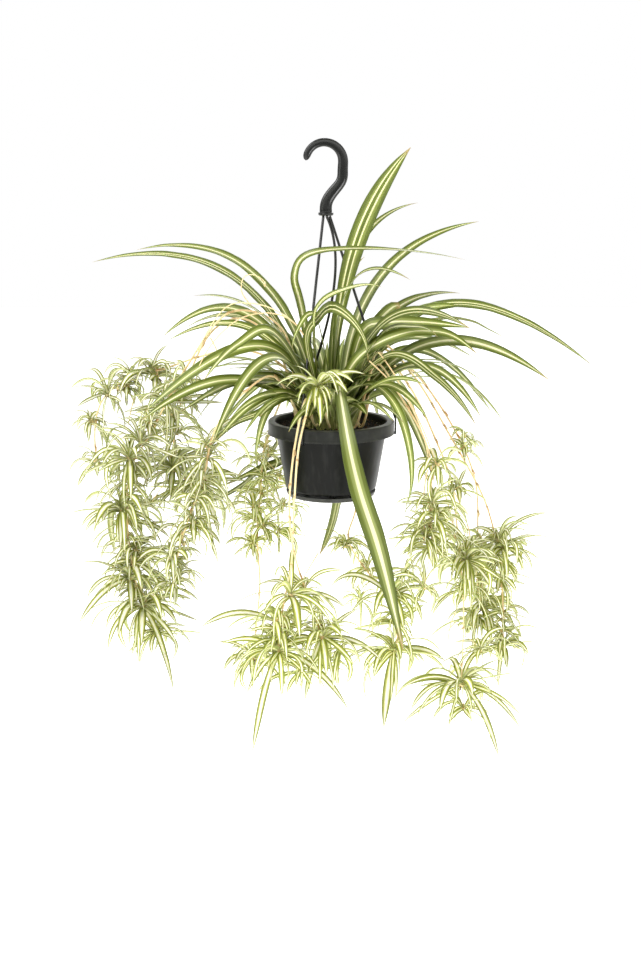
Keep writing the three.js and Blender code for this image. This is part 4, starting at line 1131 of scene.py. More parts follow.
def leaf_balls(leaf, steps):
    """A leaf as balls, one row on a narrow stretch and three on a wide one, clear of its root."""
    middle, edges = stations(leaf, steps)
    at, r = [], []
    for i in range(steps):
        parts = math.ceil(size(middle[i + 1] - middle[i]) / BALL_STEP)
        share = (np.arange(parts) / parts)[:, None]
        spots = middle[i] + (middle[i + 1] - middle[i]) * share
        edge = edges[i] + (edges[i + 1] - edges[i]) * share
        clear = size(spots - middle[0]) >= ROOT_FREE
        for spot, out, half in zip(spots[clear], edge[clear], size(edge[clear])):
            rows = [0] if half < NARROW else [-0.66, 0, 0.66]
            at.extend(spot + out * row for row in rows)
            r.extend([half / len(rows) + LEAF_THICKNESS / 2] * len(rows))
    return np.array(at), np.array(r)


def across_of(points):
    """Level, and across the way from a leaf's root to its tip."""
    lean = points[-1] - points[0]
    return unit(np.array([lean[1], -lean[0], 0.0]))


def bending(root, heading, rise, fall, length):
    """A leaf that leaves its root at one slope, bends evenly and ends at another."""

    def step(slope):
        return polar(math.cos(slope), heading, math.sin(slope)) * length / 2

    middle = root + step(rise - (rise + fall) * 0.25)
    return [root, middle, middle + step(rise - (rise + fall) * 0.75)]


print("a leaf is tried with balls", BALL_STEP, "mm apart")

# %% [markdown]
# ## From a rule's leaf to a real one
#
# The blade tree wants a line of points with a half width and a facing at each. Here the leaf gets
# what a rule's leaf lacks: a smooth outline that tapers to a long fine point, a slow twist, and a
# tint of its own.

# %% A blade for the tree
TIP_HALF = 0.12


def fullness(t, base, peak=0.42, point=2.5, lag=1.0):
    """The share of its full width that a leaf has along its length. A high point makes a blunt tip."""
    swell = base + (1 - base) * np.sin(np.minimum(t / peak, 1) * math.pi / 2) ** lag
    return swell * (1 - np.clip((t - peak) / (1 - peak), 0, 1) ** point)


def blade(leaf, step, draw, base=0.45, foot=0.0, twist=0.5, full=1.22, tints=(0.0, 1.0)):
    """A leaf as a line for the blade tree. foot carries its root down into what it grows from."""
    steps = 6 + int(length_of(leaf["line"]) / step)
    middle = evenly(leaf["line"], steps, fine=160)
    t = np.linspace(0, 1, steps + 1)
    flat, face = facing_of(leaf, middle)
    turn = leaf.get("turn", [0, 0])
    roll = leaf["roll"] + np.interp(t, np.linspace(0, 1, len(turn)), turn) + draw(-twist, twist) * t**1.5
    up = face * np.cos(roll)[:, None] + flat * np.sin(roll)[:, None]
    form = {"base": base, **leaf.get("form", {})}
    full = leaf.get("full") or full
    half = np.maximum(fullness(t, **form) * full * leaf["width"] / 2, TIP_HALF)
    if foot:
        middle = np.vstack([middle[0] - UP * foot, middle])
        up = np.vstack([up[0], up])
        half = np.concatenate([[half[0] * 1.1], half])
        t = np.concatenate([[0], t])
    tint = draw(*tints)
    tint = leaf["tint"] if leaf.get("tint") is not None else tint
    return {"points": middle, "half": half, "up": up, "along": t, "tint": tint, "twin": leaf.get("twin", 0.0)}


print("a leaf half way along has", round(float(fullness(np.array([0.5]), 0.45)[0]), 2), "of its width")

# %% [markdown]
# ## Seats of the young plants
#
# Each young plant sits against its runner at the point nearest to where it was seen, or at the
# runner's end.

# %% Young plants, and where they sit
def sits(on, leaves, reach, near=None, long=()):
    """A young plant on a runner, with a number of leaves that reach so many mm. It sits near a place
    [x, z] or at the runner's end. Each of long is a leaf's tip and width, [x, z, depth, width]."""
    return {"on": on, "leaves": leaves, "reach": reach, "near": near, "long": long}


YOUNG = [
    sits("a", 7, 35, near=[-262, -350]),
    sits("a", 11, 68, near=[-292, -405]),
    sits("a", 11, 73, near=[-294, -484]),
    sits("a", 9, 42, near=[-250, -537]),
    sits("a", 11, 65, near=[-290, -580], long=[[-352, -560, -60, 6], [-350, -645, -70, 6]]),
    sits("a", 11, 78, long=[[-220, -749, -60, 8], [-190, -612, -20, 6]]),
    sits("b", 8, 50, near=[-220, -350]),
    sits("b", 12, 73, near=[-230, -430]),
    sits("b", 12, 73, long=[[-160, -548, 30, 6]]),
    sits("c", 8, 52, near=[-180, -506], long=[[-150, -535, -100, 6]]),
    sits("c", 7, 47, near=[-220, -548]),
    sits("c", 7, 42),
    sits("d", 9, 57, near=[-232, -306], long=[[-258, -262, 10, 4], [-225, -330, 15, 6]]),
    sits("d", 7, 33, near=[-275, -312]),
    sits("d", 9, 40, near=[-326, -361]),
    sits("d", 8, 42, long=[[-345, -450, 10, 5]]),
    sits("e", 12, 65, near=[-8, -297], long=[[-60, -300, -110, 6], [45, -296, -100, 6]]),
    sits("e", 9, 73, near=[-54, -606], long=[[20, -622, -120, 6], [-128, -604, -110, 5]]),
    sits("e", 9, 65, near=[-82, -640], long=[[-180, -650, -105, 7]]),
    sits("e", 12, 73, long=[[-111, -837, -110, 7], [26, -774, -115, 7], [-118, -748, -100, 5]]),
    sits("f", 11, 73, long=[[72, -700, -95, 6], [-36, -758, -95, 6]]),
    sits("g", 7, 50, near=[-112, -480]),
    sits("g", 8, 42, near=[-88, -505]),
    sits("g", 7, 40, near=[-112, -530]),
    sits("g", 9, 54),
    sits("h", 8, 42, near=[14, -532]),
    sits("h", 11, 71, near=[87, -603], long=[[15, -612, 100, 6], [152, -602, 90, 7]]),
    sits("h", 11, 71, long=[[75, -800, 95, 10], [160, -700, 80, 7], [18, -700, 90, 5]]),
    sits("i", 9, 50, near=[150, -420]),
    sits("i", 11, 53, near=[150, -492]),
    sits("i", 9, 47, near=[120, -522]),
    sits("i", 9, 50),
    sits("j", 8, 40, near=[176, -450]),
    sits("j", 12, 65, near=[186, -556], long=[[225, -600, -20, 6]]),
    sits("j", 12, 78, long=[[239, -845, -30, 8], [102, -738, -40, 7], [268, -800, -15, 5]]),
    sits("k", 7, 38, near=[186, -390]),
    sits("k", 12, 61, near=[240, -535], long=[[285, -520, 40, 5]]),
    sits("k", 9, 59, long=[[235, -740, 50, 6]]),
    sits("l", 12, 68, near=[218, -625]),
]


def missed_by(points, near):
    """How far from a given place each point is seen."""
    share = (points[:, 1] - EYE[1]) / -EYE[1]
    x = EYE[0] + (points[:, 0] - EYE[0]) / share - near[0]
    return np.hypot(x, EYE[2] + (points[:, 2] - EYE[2]) / share - near[1])


def square_to(out, along):
    """The part of a direction that is square to another, made a unit long."""
    return unit(out - along * (out @ along))


def seat_of(young):
    line = runner_chords[young["on"]]
    apart = BUD_RADIUS + CLEARANCE + 0.1
    if young["near"] is None:
        return line[-1] + unit(line[-1] - line[-2]) * apart
    i = 4 + int(np.argmin(missed_by(line[4:-3], young["near"])))
    out = seen([*young["near"], line[i][1]]) - line[i]
    return line[i] + square_to(out, unit(line[i + 1] - line[i - 1])) * (apart + RUNNER_RADIUS)


seats = [seat_of(young) for young in YOUNG]
for number, seat in enumerate(seats):
    claim(f"young_{number + 1}", seat[None], BUD_RADIUS)
print(len(seats), "young plants have a seat")

# %% [markdown]
# ## The mother plant
#
# Listed leaves come first, each in the nearest free place of its ring in the crown. Then the
# free places are filled by rule: the outer leaves lean and hang, the inner ones stand.

# %% Listed leaves
RINGS = [[31, 22], [23, 17], [15, 12], [7, 5]]  # radius in mm, and places


def by_eye(ring, width, *through, **look):
    """A leaf that stands in a ring of the crown, so many mm wide, and passes given points."""
    return {"ring": ring, "width": width, "through": through, **look}


MOTHER = [
    # to the left
    by_eye(2, 14, [-100, -165, 10], [-256, -131, 25]),
    by_eye(1, 13, [-125, -170, -15], [-315, -147, -35]),
    by_eye(1, 12, [-80, -228, -35], [-182, -191, -70]),
    by_eye(1, 12, [-110, -215, 45], [-224, -247, 85]),
    by_eye(1, 10, [-100, -228, 75], [-200, -238, 150]),
    by_eye(1, 11, [-100, -238, 18], [-218, -251, 35]),
    by_eye(0, 15, [-95, -258, -40], [-251, -347, -85]),
    by_eye(0, 12, [-110, -277, -12], [-226, -325, -30]),
    by_eye(0, 13, [-80, -274, -100], [-161, -392, -170]),
    by_eye(0, 13, [-125, -312, -62], [-254, -368, -120]),
    by_eye(0, 12, [-105, -296, 62], [-190, -372, 115]),
    by_eye(0, 12, [-90, -331, -62], [-168, -392, -110]),
    by_eye(0, 11, [-105, -330, 28], [-190, -420, 45]),
    by_eye(0, 10, [-70, -330, -70], [-103, -415, -105]),
    by_eye(0, 11, [-60, -322, 40], [-118, -352, 70], [-180, -400, 105]),
    by_eye(0, 11, [-32, -306, 66], [-68, -375, 118], [-120, -442, 124], [-199, -476, 100]),
    # upright
    by_eye(3, 22, [26, -145, -32], [103, 1, -62], roll=75, twin=1.0, tint=0.4, turn=[36, 36],
           form={"base": 0.2, "peak": 0.68, "lag": 3.0}, full=1.12),
    by_eye(2, 10, [24, -150, 46], [113, -70, 90]),
    by_eye(2, 12, [60, -173, 40], [193, -94, 70]),
    by_eye(2, 13, [-38, -215, -18], [-48, -162, -42], [-22, -134, -58], [74, -130, -66], [177, -144, -80],
           turn=[60, 80, 85, 10, -10, -20], full=0.82, tint=0.2),
    by_eye(3, 9, [22, -183, -50], [104, -170, -95]),
    by_eye(2, 8, [-36, -240, -66], [-26, -200, -74], [18, -180, -88], [52, -181, -98], turn=[40, 30]),
    # to the right
    by_eye(1, 12, [80, -224, 70], [180, -190, 120]),
    by_eye(1, 10, [75, -238, -16], [169, -205, -30], form={"base": 0.35, "peak": 0.78, "point": 3.0},
           turn=[0, 10, 50]),
    by_eye(1, 14, [42, -258, 95], [90, -207, 165]),
    by_eye(1, 13, [165, -222, 0], [372, -302, -20]),
    by_eye(1, 14, [145, -257, -45], [301, -308, -95]),
    by_eye(1, 14, [72, -226, -70], [183, -233, -135]),
    by_eye(0, 13, [85, -246, 28], [196, -269, 58]),
    by_eye(0, 11, [108, -262, 62], [217, -349, 115]),
    by_eye(0, 11, [104, -297, -78], [193, -369, -140]),
    by_eye(0, 9, [65, -303, 100], [125, -282, 190]),
    by_eye(0, 9, [66, -308, -105], [125, -310, -180]),
    by_eye(0, 10, [70, -310, -88], [131, -358, -150]),
    by_eye(0, 11, [45, -310, -55], [85, -336, -90], [108, -410, -102], [104, -476, -102]),
    by_eye(0, 13, [52, -306, -28], [96, -338, -48], [122, -388, -56], [140, -445, -60]),
    # down the front and down the back
    by_eye(0, 21, [10, -296, -62], [21, -372, -118], [38, -450, -138], [68, -545, -148], [101, -685, -155],
           twin=0.0, tint=0.0, form={"base": 0.2, "peak": 0.64, "point": 1.8, "lag": 1.9}),
    by_eye(0, 14, [12, -298, 74], [14, -385, 120], [8, -479, 122], [-16, -547, 116], roll=5, twin=1.0,
           form={"point": 9.0}),
]
TRIES, LEAF_STEPS = 60, 5
FILL = {"length": [250, 235, 190, 150], "rise": [52, 64, 74, 82], "fall": [72, 45, 20, -10]}
ROOT_DEPTH = 6.0


def spot_at(ring, radius, angle, depth):
    return {"ring": ring, "angle": angle, "at": polar(radius, angle, CROWN_TOP - depth)}


places = [
    {**spot_at(ring, radius, 2 * math.pi * (i + ring / 3) / count, ROOT_DEPTH), "free": True}
    for ring, (radius, count) in enumerate(RINGS)
    for i in range(count)
]
print(len(places), "places in the crown")


# %% Growing the crown
def between(a, b):
    """The angle between two headings."""
    return abs(math.atan2(math.sin(a - b), math.cos(a - b)))


def stand_in(ring, heading):
    """Takes the free place of a ring that lies nearest to the way a leaf leans."""
    free = [spot for spot in places if spot["free"]]
    here = [spot for spot in free if spot["ring"] == ring] or free
    best = min(here, key=lambda spot: between(spot["angle"], heading))
    best["free"] = False
    return best["at"]


def grow(owner, tries, steps, spare=SPARE):
    """The first of some tries at a leaf that has room. steps may depend on the leaf's length."""
    for leaf in tries:
        count = steps(leaf) if callable(steps) else steps
        at, r = leaf_balls(leaf, count)
        if len(at) and has_room(owner, at, r, spare):
            claim(owner, at, r)
            return leaf
    return None


def chosen_tries(leaf, number):
    points = [seen(point) for point in leaf["through"]]
    root = stand_in(leaf["ring"], math.atan2(points[0][1], points[0][0]))
    face = np.sign(points[-1][0] - root[0])
    for attempt in range(TRIES):
        draw = dice(SEED["chosen"] + number * SEED["chosen_leaf"] + attempt)
        drift = np.array([draw(-1, 1) for _ in range(3)]) * attempt * 1.2
        whole = [root, *(point + drift for point in points)]
        roll = face * math.radians(leaf.get("roll", 38) + draw(-12, 12))
        yield {
            "line": Midrib(whole), "width": leaf["width"], "roll": roll, "across": across_of(whole),
            "twin": leaf.get("twin", float(draw(0, 1) > 0.75)), "form": leaf.get("form", {}),
            "turn": face * np.radians(leaf.get("turn", [0, 0])), "tint": leaf.get("tint"),
            "full": leaf.get("full"),
        }


def fill_tries(spot, number, slim=1.0):
    ring = spot["ring"]
    for attempt in range(TRIES):
        draw = dice(SEED["fill"] + number * SEED["fill_leaf"] + attempt)
        heading = spot["angle"] + draw(-0.3, 0.3)
        front = max(0, -math.sin(heading))
        full = FILL["length"][ring] * draw(0.8, 1.15)
        length = full * (1 - 0.5 * front) * (1 - attempt / (TRIES * 1.6))
        rise = math.radians(FILL["rise"][ring] + draw(-8, 8))
        fall = math.radians(FILL["fall"][ring] + draw(-15, 15) - 40 * front)
        points = bending(spot["at"], heading, rise, fall, length)
        width = draw(9, 14) * slim
        yield {"line": Midrib(points), "width": width, "roll": draw(-0.4, 0.4), "across": across_of(points)}


crown_leaves = [grow("crown", chosen_tries(leaf, i), LEAF_STEPS) for i, leaf in enumerate(MOTHER)]
free_places = [spot for spot in places if spot["free"]]
crown_leaves += [grow("crown", fill_tries(spot, i), LEAF_STEPS) for i, spot in enumerate(free_places)]
crown_leaves = [leaf for leaf in crown_leaves if leaf]
print(len(crown_leaves), "leaves in the crown")

# %% Growing the young plants
GOLDEN = math.radians(137.5)


def reaching(start, tip, draw, attempt):
    """A long leaf arches from the stub to a given tip."""
    x, z, depth, width = tip
    drift = np.array([draw(-1, 1) for _ in range(3)]) * attempt * 1.5
    end = seen([x, z, depth]) + drift
    middle = start + (end - start) * 0.5 + UP * size(end - start) * 0.16 + drift * 0.5
    return [start, middle, end], width, draw(-0.6, 0.6)


def drooping(start, number, young, draw, attempt):
    """The other leaves stand round the stub at the golden angle, the lowest first, and all droop."""
    looseness = 0.12 + attempt * 0.05
    heading = GOLDEN * number + draw(-looseness, looseness)
    rise = math.radians(-15 + (95 * (number + 0.5)) / young["leaves"] + draw(-6, 6))
    length = young["reach"] * draw(0.75, 1.15) * (1 - attempt / (TRIES * 1.6))
    points = bending(start, heading, rise, math.radians(draw(40, 90)), length)
    return points, draw(0.08, 0.11) * young["reach"] + 2, draw(-0.5, 0.5)


def young_tries(bud, number, young, index):
    tips = young["long"]
    start = bud + UP * ((5 * number) / young["leaves"] - 2.5)
    for attempt in range(TRIES):
        draw = dice(index * SEED["plant"] + number * SEED["young_leaf"] + attempt)
        look = {}
        if number < len(tips):
            points, width, roll = reaching(start, tips[number], draw, attempt)
            turn = np.radians([50, 50]) * np.sign(points[-1][0] - start[0])
            look = {"turn": turn, "tint": 0.3, "full": 1.4}
        else:
            points, width, roll = drooping(start, number, young, draw, attempt)
        yield {"line": Midrib(points), "width": width, "roll": roll, "across": across_of(points), **look}


def young_steps(leaf):
    length = length_of(leaf["line"])
    return 2 + (length > 45) + (length > 85)


young_leaves = []
for index, (young, seat) in enumerate(zip(YOUNG, seats)):
    owner = f"young_{index + 1}"
    leaves = [grow(owner, young_tries(seat, n, young, index), young_steps) for n in range(young["leaves"])]
    young_leaves.append([leaf for leaf in leaves if leaf])
print(sum(map(len, young_leaves)), "leaves on the young plants")

# %% [markdown]
# ## More leaves
#
# The solid model keeps to a few leaves a plant. The real plant is denser, so more leaves grow now, in
# the room that is left and inside the same outer box: listed arching ones, broad upright ones
# round the foot of the crown, slimmer ones all over it, and slim ones on every young plant, fewer
# where its leaves stand apart.

# %% Room inside the box
LOW = np.array(cad_box[0]) / MM
HIGH = np.array(cad_box[1]) / MM
TIGHT = -1.2  # these leaves may come this much nearer than touching


def inside(leaf, margin=2.0):
    points = leaf["line"].at(np.linspace(0, 1, 24))
    return (points > LOW + margin).all() and (points < HIGH - margin).all()


print("the box is", [round(float(side)) for side in HIGH - LOW], "mm")

# %% More arching leaves, listed
ARCHES = [
    by_eye(2, 15, [-38, -262, -78], [-22, -226, -84], [-4, -213, -84], [20, -228, -84], [38, -255, -86],
           [43, -286, -88], twin=1.0, turn=[50, 20]),
    by_eye(3, 11, [-4, -246, 22], [2, -203, 30], [12, -168, 42], [38, -138, 60], turn=[30, 30]),
    by_eye(2, 9, [-16, -232, -60], [-30, -215, -72], [-46, -238, -80], [-52, -262, -84], turn=[20, 20]),
    by_eye(1, 12, [62, -248, -60], [110, -232, -90], [142, -246, -104]),
    by_eye(1, 13, [-70, -250, -70], [-120, -262, -100], [-168, -312, -120]),
    by_eye(1, 12, [74, -272, -80], [140, -300, -112], [196, -366, -120]),
    by_eye(1, 15, [40, -244, -34], [76, -227, -42], [118, -226, -48], [161, -230, -52], [186, -234, -54],
           twin=0.0, tint=0.5, turn=[24, 30]),
    by_eye(1, 16, [25, -290, -56], [55, -259, -64], [97, -241, -74], [129, -238, -80], [161, -244, -86],
           [195, -269, -92], twin=0.0, tint=0.3, turn=[26, 30]),
    by_eye(2, 13, [34, -266, -22], [60, -228, -26], [82, -206, -30], [92, -208, -32], twin=0.0,
           form={"base": 0.4, "peak": 0.8, "point": 5.0}, turn=[20, 50]),
    by_eye(1, 5, [84, -246, 14], [145, -223, 24], [186, -225, 30], [212, -237, 34], [237, -250, 38],
           tint=0.1),
    by_eye(0, 19, [-30, -310, 70], [-42, -384, 112], [-62, -420, 118], [-104, -438, 112], [-152, -460, 104],
           twin=0.0, turn=[0, 30]),
    by_eye(0, 11, [-46, -318, 62], [-80, -352, 96], [-122, -372, 110], [-166, -420, 112], turn=[0, 30]),
]
ARCH_NUMBER, ARCH_STEPS = 300, 8
for number, arch in enumerate(ARCHES):
    crown_leaves.append(grow("crown", chosen_tries(arch, ARCH_NUMBER + number), ARCH_STEPS, TIGHT))
print(len(ARCHES), "more arching leaves")

# %% More leaves of the crown
FOOT_LEAVES, FOOT_RADIUS, FOOT_DEPTH = 34, 32, 8.0
EXTRA_LEAVES, EXTRA_NUMBER, EXTRA_SHARE, EXTRA_SLIM = 46, 100, 0.9, 0.75


def foot_tries(spot, number):
    """Tries at a broad upright leaf at the foot of the crown, which hides where the runners start."""
    for attempt in range(TRIES):
        draw = dice(SEED["foot"] + number * SEED["fill_leaf"] + attempt)
        heading = spot["angle"] + draw(-0.4, 0.4)
        length = draw(70, 150) * (1 - attempt / (TRIES * 2))
        rise, fall = math.radians(draw(66, 84)), math.radians(draw(-40, 50))
        points = bending(spot["at"], heading, rise, fall, length)
        width = draw(10, 15)
        yield {"line": Midrib(points), "width": width, "roll": draw(-0.6, 0.6), "across": across_of(points)}


for number in range(FOOT_LEAVES):
    spot = spot_at(0, FOOT_RADIUS, GOLDEN * number, FOOT_DEPTH)
    crown_leaves.append(grow("crown", filter(inside, foot_tries(spot, number)), LEAF_STEPS, TIGHT))
for number in range(EXTRA_LEAVES):
    ring = number % len(RINGS)
    spot = spot_at(ring, RINGS[ring][0] * EXTRA_SHARE, GOLDEN * number + 0.4, ROOT_DEPTH)
    tries = fill_tries(spot, EXTRA_NUMBER + number, EXTRA_SLIM)
    crown_leaves.append(grow("crown", filter(inside, tries), LEAF_STEPS, TIGHT))
crown_leaves = [leaf for leaf in crown_leaves if leaf]
print(len(crown_leaves), "leaves in the crown now")


# %% More leaves on the young plants
def tuft_tries(bud, number, count, reach, seed):
    """Tries at one of many small leaves. They lean any way, and every third one droops far."""
    start = bud + UP * ((5 * number) / count - 2.5)
    for attempt in range(TRIES // 3):
        draw = dice(seed + number * SEED["young_leaf"] + attempt)
        heading = GOLDEN * number + draw(-0.9, 0.9)
        rise, fall = math.radians(draw(-25, 88)), math.radians(draw(-5, 95) + (60 if number % 3 == 2 else 0))
        length = reach * draw(0.45, 1.4) * (1 - attempt / TRIES)
        points = bending(start, heading, rise, fall, length)
        width = draw(0.035, 0.08) * reach + 1.6
        yield {"line": Midrib(points), "width": width, "roll": draw(-0.9, 0.9), "across": across_of(points)}


def tuft(owner, bud, count, reach, seed):
    """The leaves of a tuft that find room."""
    tries = (tuft_tries(bud, number, count, reach, seed) for number in range(count))
    leaves = [grow(owner, filter(inside, one), young_steps, TIGHT) for one in tries]
    return [leaf for leaf in leaves if leaf]


LOOSE = {13, 15, 16, 17, 18, 19, 22, 29, 33, 36}  # numbers of young plants whose leaves stand far apart
MORE, MORE_IF_LOOSE = 14, 2
for index, (young, seat) in enumerate(zip(YOUNG, seats)):
    count = young["leaves"] + (MORE_IF_LOOSE if index + 1 in LOOSE else MORE)
    seed = SEED["denser"] + index * SEED["plant"]
    young_leaves[index] += tuft(f"young_{index + 1}", seat, count, young["reach"], seed)
print(sum(map(len, young_leaves)), "leaves on the young plants now")

# %% [markdown]
# ## Tufts
#
# Between the young plants, the far stretch of each runner carries small tufts, many on the left and
# right and few in front. Nearer to the pot the runners are bare. More tufts hang beside a runner on
# thin shoots, each at a given place: where it is seen, how far its leaves reach, and its
# runner.

# %% Tufts along the runners
TUFTED = {"a": (0.5, 1), "b": (0.68, 1), "c": (0.55, 1), "d": (0.7, 0.82), "e": (0.9, 1), "f": (0.84, 1),
          "g": (0.33, 0.64), "h": (0.75, 1), "i": (0.84, 1), "j": (0.66, 0.8), "k": (0.74, 1), "l": (0.76, 1)}
TUFT_BUD = 3.2
tufts = []
for index, (name, line) in enumerate(runner_lines.items()):
    draw = dice(SEED["tuft_place"] + index)
    length = length_of(line)
    points = evenly(line, int(length), fine=400)
    place, last = length * TUFTED[name][0], length * TUFTED[name][1] - 8
    while place < last:
        i = int(place)
        out = square_to(polar(1.0, draw(0, 2 * math.pi), 0.0), unit(points[i + 1] - points[i - 1]))
        bud = points[i] + out * (TUFT_BUD + RUNNER_RADIUS)
        owner = f"tuft_{len(tufts) + 1}"
        if has_room(owner, bud[None], np.array([TUFT_BUD]), -RUNNER_RADIUS):
            claim(owner, bud[None], TUFT_BUD)
            tufts.append({"bud": bud, "owner": owner, "reach": draw(20, 64), "on": name})
        place += draw(8, 25)
print(len(tufts), "tufts along the runners")

# %% Tufts that hang on shoots
HUNG = [
    [-244, -658, 52, "a"], [-256, -611, 50, "a"], [-247, -476, 48, "b"], [-172, -466, 52, "c"],
    [-272, -309, 34, "d"], [-69, -438, 44, "g"], [-64, -476, 44, "g"], [-85, -406, 36, "g"],
    [-43, -716, 50, "e"], [-76, -691, 50, "e"], [13, -684, 48, "f"], [129, -594, 46, "i"],
    [180, -380, 38, "l"], [-240, -288, 44, "d"], [-72, -512, 46, "g"], [-8, -704, 46, "f"],
    [-245, -660, 54, "a"], [187, -770, 54, "j"], [209, -684, 50, "j"], [102, -568, 40, "h"],
    [41, -611, 44, "h"],
]
HUNG_BELOW = 22  # how far below the start of its shoot a tuft is seen
shoots = []
for x, z, reach, name in HUNG:
    line = runner_chords[name][4:]
    start = line[np.argmin(missed_by(line, [x, z + HUNG_BELOW]))]
    bud = seen([x, z, start[1]])
    points = evenly(Midrib([start, (start + bud) / 2 + UP * 3, bud]), 12, fine=200)
    shoots.append({"points": points, "half": 0.6, "knot": 0.0})
    owner = f"tuft_{len(tufts) + 1}"
    claim(owner, bud[None], TUFT_BUD)
    tufts.append({"bud": bud, "owner": owner, "reach": reach, "on": name})
stalks("hung_shoots", shoots, 8, STEM)
tuft_leaves = []
for index, one in enumerate(tufts):
    count = 7 + int(one["reach"] / 5)
    leaves = tuft(one["owner"], one["bud"], count, one["reach"], SEED["tuft"] + SEED["plant"] * index)
    tuft_leaves += [{**leaf, "on": one["on"]} for leaf in leaves]
print(len(tufts), "tufts with", len(tuft_leaves), "leaves")

# %% [markdown]
# ## Blades
#
# Now every leaf becomes a line with attributes, and the blade tree makes the blades: one object for
# the crown, one for each young plant and one for the tufts of each side.

# %% Blades of the crown
BLADE_STEP, BLADE_FOOT = 7, 14
draw = dice(SEED["crown_blade"])
lines = [
    blade(leaf, BLADE_STEP, draw, base=0.5, foot=BLADE_FOOT, twist=0.35, full=1.26) for leaf in crown_leaves
]
crown = grown(
    "crown_leaves", line_mesh("crown", lines), BLADE, Sides=12, Crease=0.2, Thickness=0.07, Wave=0.5,
    Finish=MOTHER_LEAF,
)
finished(crown, "mother_leaf", "crown")
print("the crown has", len(crown.data.polygons), "faces")

# %% Blades of the young plants and of the tufts
SIDES = {"left": "abcd", "front": "ef", "back": "gh", "right": "ijkl"}
TINTS = {"left": (0.0, 0.8), "front": (0.85, 1.0), "back": (0.85, 1.0), "right": (0.5, 1.0)}


def young_blades(name, leaves, side, seed):
    """The plants in front and behind get paler tints than those at the sides, and those on the right paler
    than those on the left.
    """
    draw = dice(seed)
    lines = [blade(leaf, BLADE_STEP, draw, base=0.55, twist=0.8, tints=TINTS[side]) for leaf in leaves]
    return grown(
        name, line_mesh("lines", lines), BLADE, Sides=8, Crease=0.34, Thickness=0.13, Wave=0.4,
        Finish=YOUNG_LEAF,
    )


for index, leaves in enumerate(young_leaves):
    side = next(side for side, runners in SIDES.items() if YOUNG[index]["on"] in runners)
    young = young_blades(f"young_leaves_{index + 1}", leaves, side, SEED["young_blade"] + index)
    finished(young, "young_leaf", f"young_{index + 1}")
faces = 0
for side, runners in SIDES.items():
    leaves = [leaf for leaf in tuft_leaves if leaf["on"] in runners]
    made = young_blades("tuft_leaves_" + side, leaves, side, SEED["tuft_blade"] + len(side))
    finished(made, "young_leaf")
    faces += len(made.data.polygons)
print("the tufts have", faces, "faces")

# %% [markdown]
# ## Buds, bracts and roots
#
# The leaves of a young plant spring from a short pale stub, and brown root tips stand out of it. Each
# joint of a runner carries a dry bract that hugs the stem.

# %% Stubs and roots
YOUNG_STUB, TUFT_STUB = 4.2, 2.5
STUB = np.array([[-1.25, 0.25, 0.9], [-0.9, 0.7, 0.8], [-0.2, 1.0, 0.2], [0.6, 0.85, 0.0], [1.2, 0.4, 0.0]])
ROOT_HALF = np.array([0.9, 0.85, 0.75, 0.6, 0.25])
stubs, roots = [], []
for bud, r in [*((seat, YOUNG_STUB) for seat in seats), *((one["bud"], TUFT_STUB) for one in tufts)]:
    draw = dice(int(abs(bud @ [31, 57, 97])) + 3)
    height, half, knot = STUB.T
    lean = np.array([draw(-0.2, 0.2), draw(-0.2, 0.2), 1.0])
    stubs.append({"points": bud + (height * r)[:, None] * lean, "half": half * r, "knot": knot})
    for _ in range(3 if r == YOUNG_STUB else 1):
        turn, length = draw(0, 2 * math.pi), draw(1.6, 3.4) * r * 0.6
        way = polar(0.8, turn, -0.7)
        start = bud + way * r * 0.5
        end = start + way * (r * 0.5 + length)
        middle = (start + end) / 2 + np.array([draw(-0.6, 0.6), draw(-0.6, 0.6), 0.5])
        roots.append({"points": evenly(Midrib([start, middle, end]), 4), "half": ROOT_HALF, "knot": 1.0})
stalks("young_stubs", stubs, 10, STEM)
stalks("aerial_roots", roots, 6, ROOT)
print(len(stubs), "stubs and", len(roots), "root tips")

# %% Bracts
bracts = []
for at, along, draw in joints:
    turn, length = draw(0, 2 * math.pi), draw(6, 11)
    out = square_to(polar(1.0, turn, 0.3), along)
    points = [at + out * 1.0, at + along * length * 0.5 + out * 1.7, at + along * length + out * 2.0]
    across = unit(np.cross(along, out))
    leaf = {"line": Midrib(points), "width": draw(1.8, 2.8), "roll": 0.0, "across": across}
    bracts.append({**blade(leaf, 5, draw, base=0.9, twist=0.6), "knot": 0.4})
bract = grown(
    "dry_bracts", line_mesh("bracts", bracts), BLADE, Sides=6, Crease=0.3, Thickness=0.12, Wave=0.5,
    Finish=BRACT,
)
finished(bract, "runner_stem")
print(len(bracts), "bracts")

# %% [markdown]
# ## Floor, light and camera
#
# The plant hangs in front of white, and a pale floor well below it throws light back up. Behind the
# camera the room is greyer, which keeps the black plastic dark in front and greys its sides. Three
# large soft lights give the leaves their sheen. The camera stands where the plant is seen from, and
# looks a little down.

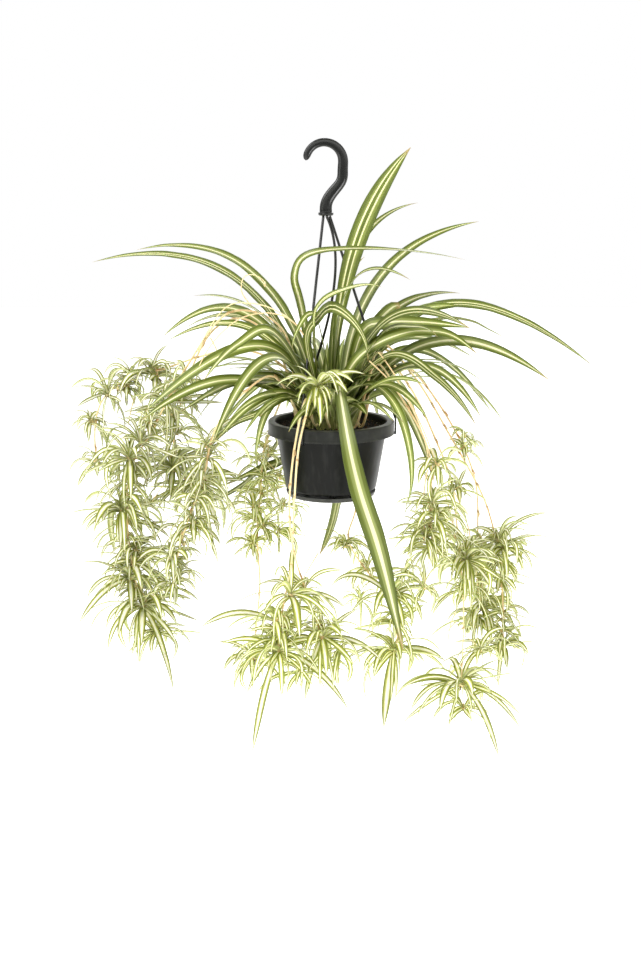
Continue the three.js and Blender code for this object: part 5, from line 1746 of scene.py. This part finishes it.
# %% Floor
FLOOR, HALF_FLOOR = -1150, 9000
CORNERS = [(-1, -1), (1, -1), (1, 1), (-1, 1)]
corners = [(x * HALF_FLOOR * MM, y * HALF_FLOOR * MM, FLOOR * MM) for x, y in CORNERS]
floor_mesh = bpy.data.meshes.new("floor")
floor_mesh.from_pydata(corners, [], [(0, 1, 2, 3)])
PALE, tree, shader = new_material(
    "pale_floor",
    {"Roughness": 0.9, "Base Color": linear("#fefefc"), "Emission Color": linear("#fefefb"),
     "Emission Strength": 0.8},
)
floor_mesh.materials.append(PALE)
placed("floor", floor_mesh)
print("the floor lies", -FLOOR, "mm below the hook")

# %% Light
def aimed(thing, place, target):
    """Stands a lamp or the camera at a place and turns it to a target, both in metres."""
    thing.location = place
    way = Vector(target) - thing.location
    thing.rotation_euler = way.to_track_quat("-Z", "Y").to_euler()
    return way


LAMPS = [
    ("key", (-1.6, -1.8, 1.3), 1.6, 64.0),
    ("fill", (2.2, -1.4, 0.2), 1.8, 22.0),
    ("back", (0.6, 2.2, 1.2), 1.6, 20.0),
]  # name, place in metres, width in metres, watts
world = bpy.data.worlds.new("white_studio")
bpy.context.scene.world = world
world.use_nodes = True
sky = world.node_tree
sky.nodes["Background"].inputs["Color"].default_value = linear("#ffffff")
depth = add(sky, "ShaderNodeSeparateXYZ", {0: add(sky, "ShaderNodeTexCoord")}).node.outputs["Y"]
bright = add(
    sky, "ShaderNodeMapRange",
    {"Value": depth, "From Min": -0.7, "From Max": 0.2, "To Min": 0.3, "To Max": 1.0},
)
sky.links.new(bright, sky.nodes["Background"].inputs["Strength"])
for name, place, width, power in LAMPS:
    lamp = bpy.data.lights.new(name, "AREA")
    lamp.size, lamp.energy = width, power
    aimed(placed(name, lamp), place, (0, 0, -0.4))
bpy.context.scene.view_settings.view_transform = "Standard"
bpy.context.scene.view_settings.look = "None"
print(len(LAMPS), "soft lights and a white sky")

# %% Camera
LOOKS_AT = (-14.3, 0, -441)
camera = bpy.data.cameras.new("camera")
camera.lens, camera.sensor_width, camera.sensor_fit = 56.25, 36, "AUTO"
camera_object = placed("camera", camera)
way = aimed(camera_object, Vector(EYE) * MM, Vector(LOOKS_AT) * MM)
bpy.context.scene.camera = camera_object
print("the camera looks down by", round(math.degrees(math.atan2(-way.z, way.y)), 1), "degrees")

# %% [markdown]
# ## The solid model's box
#
# The dressed plant has to keep to the solid model's box.

# %% Update the scene
bpy.context.view_layer.update()
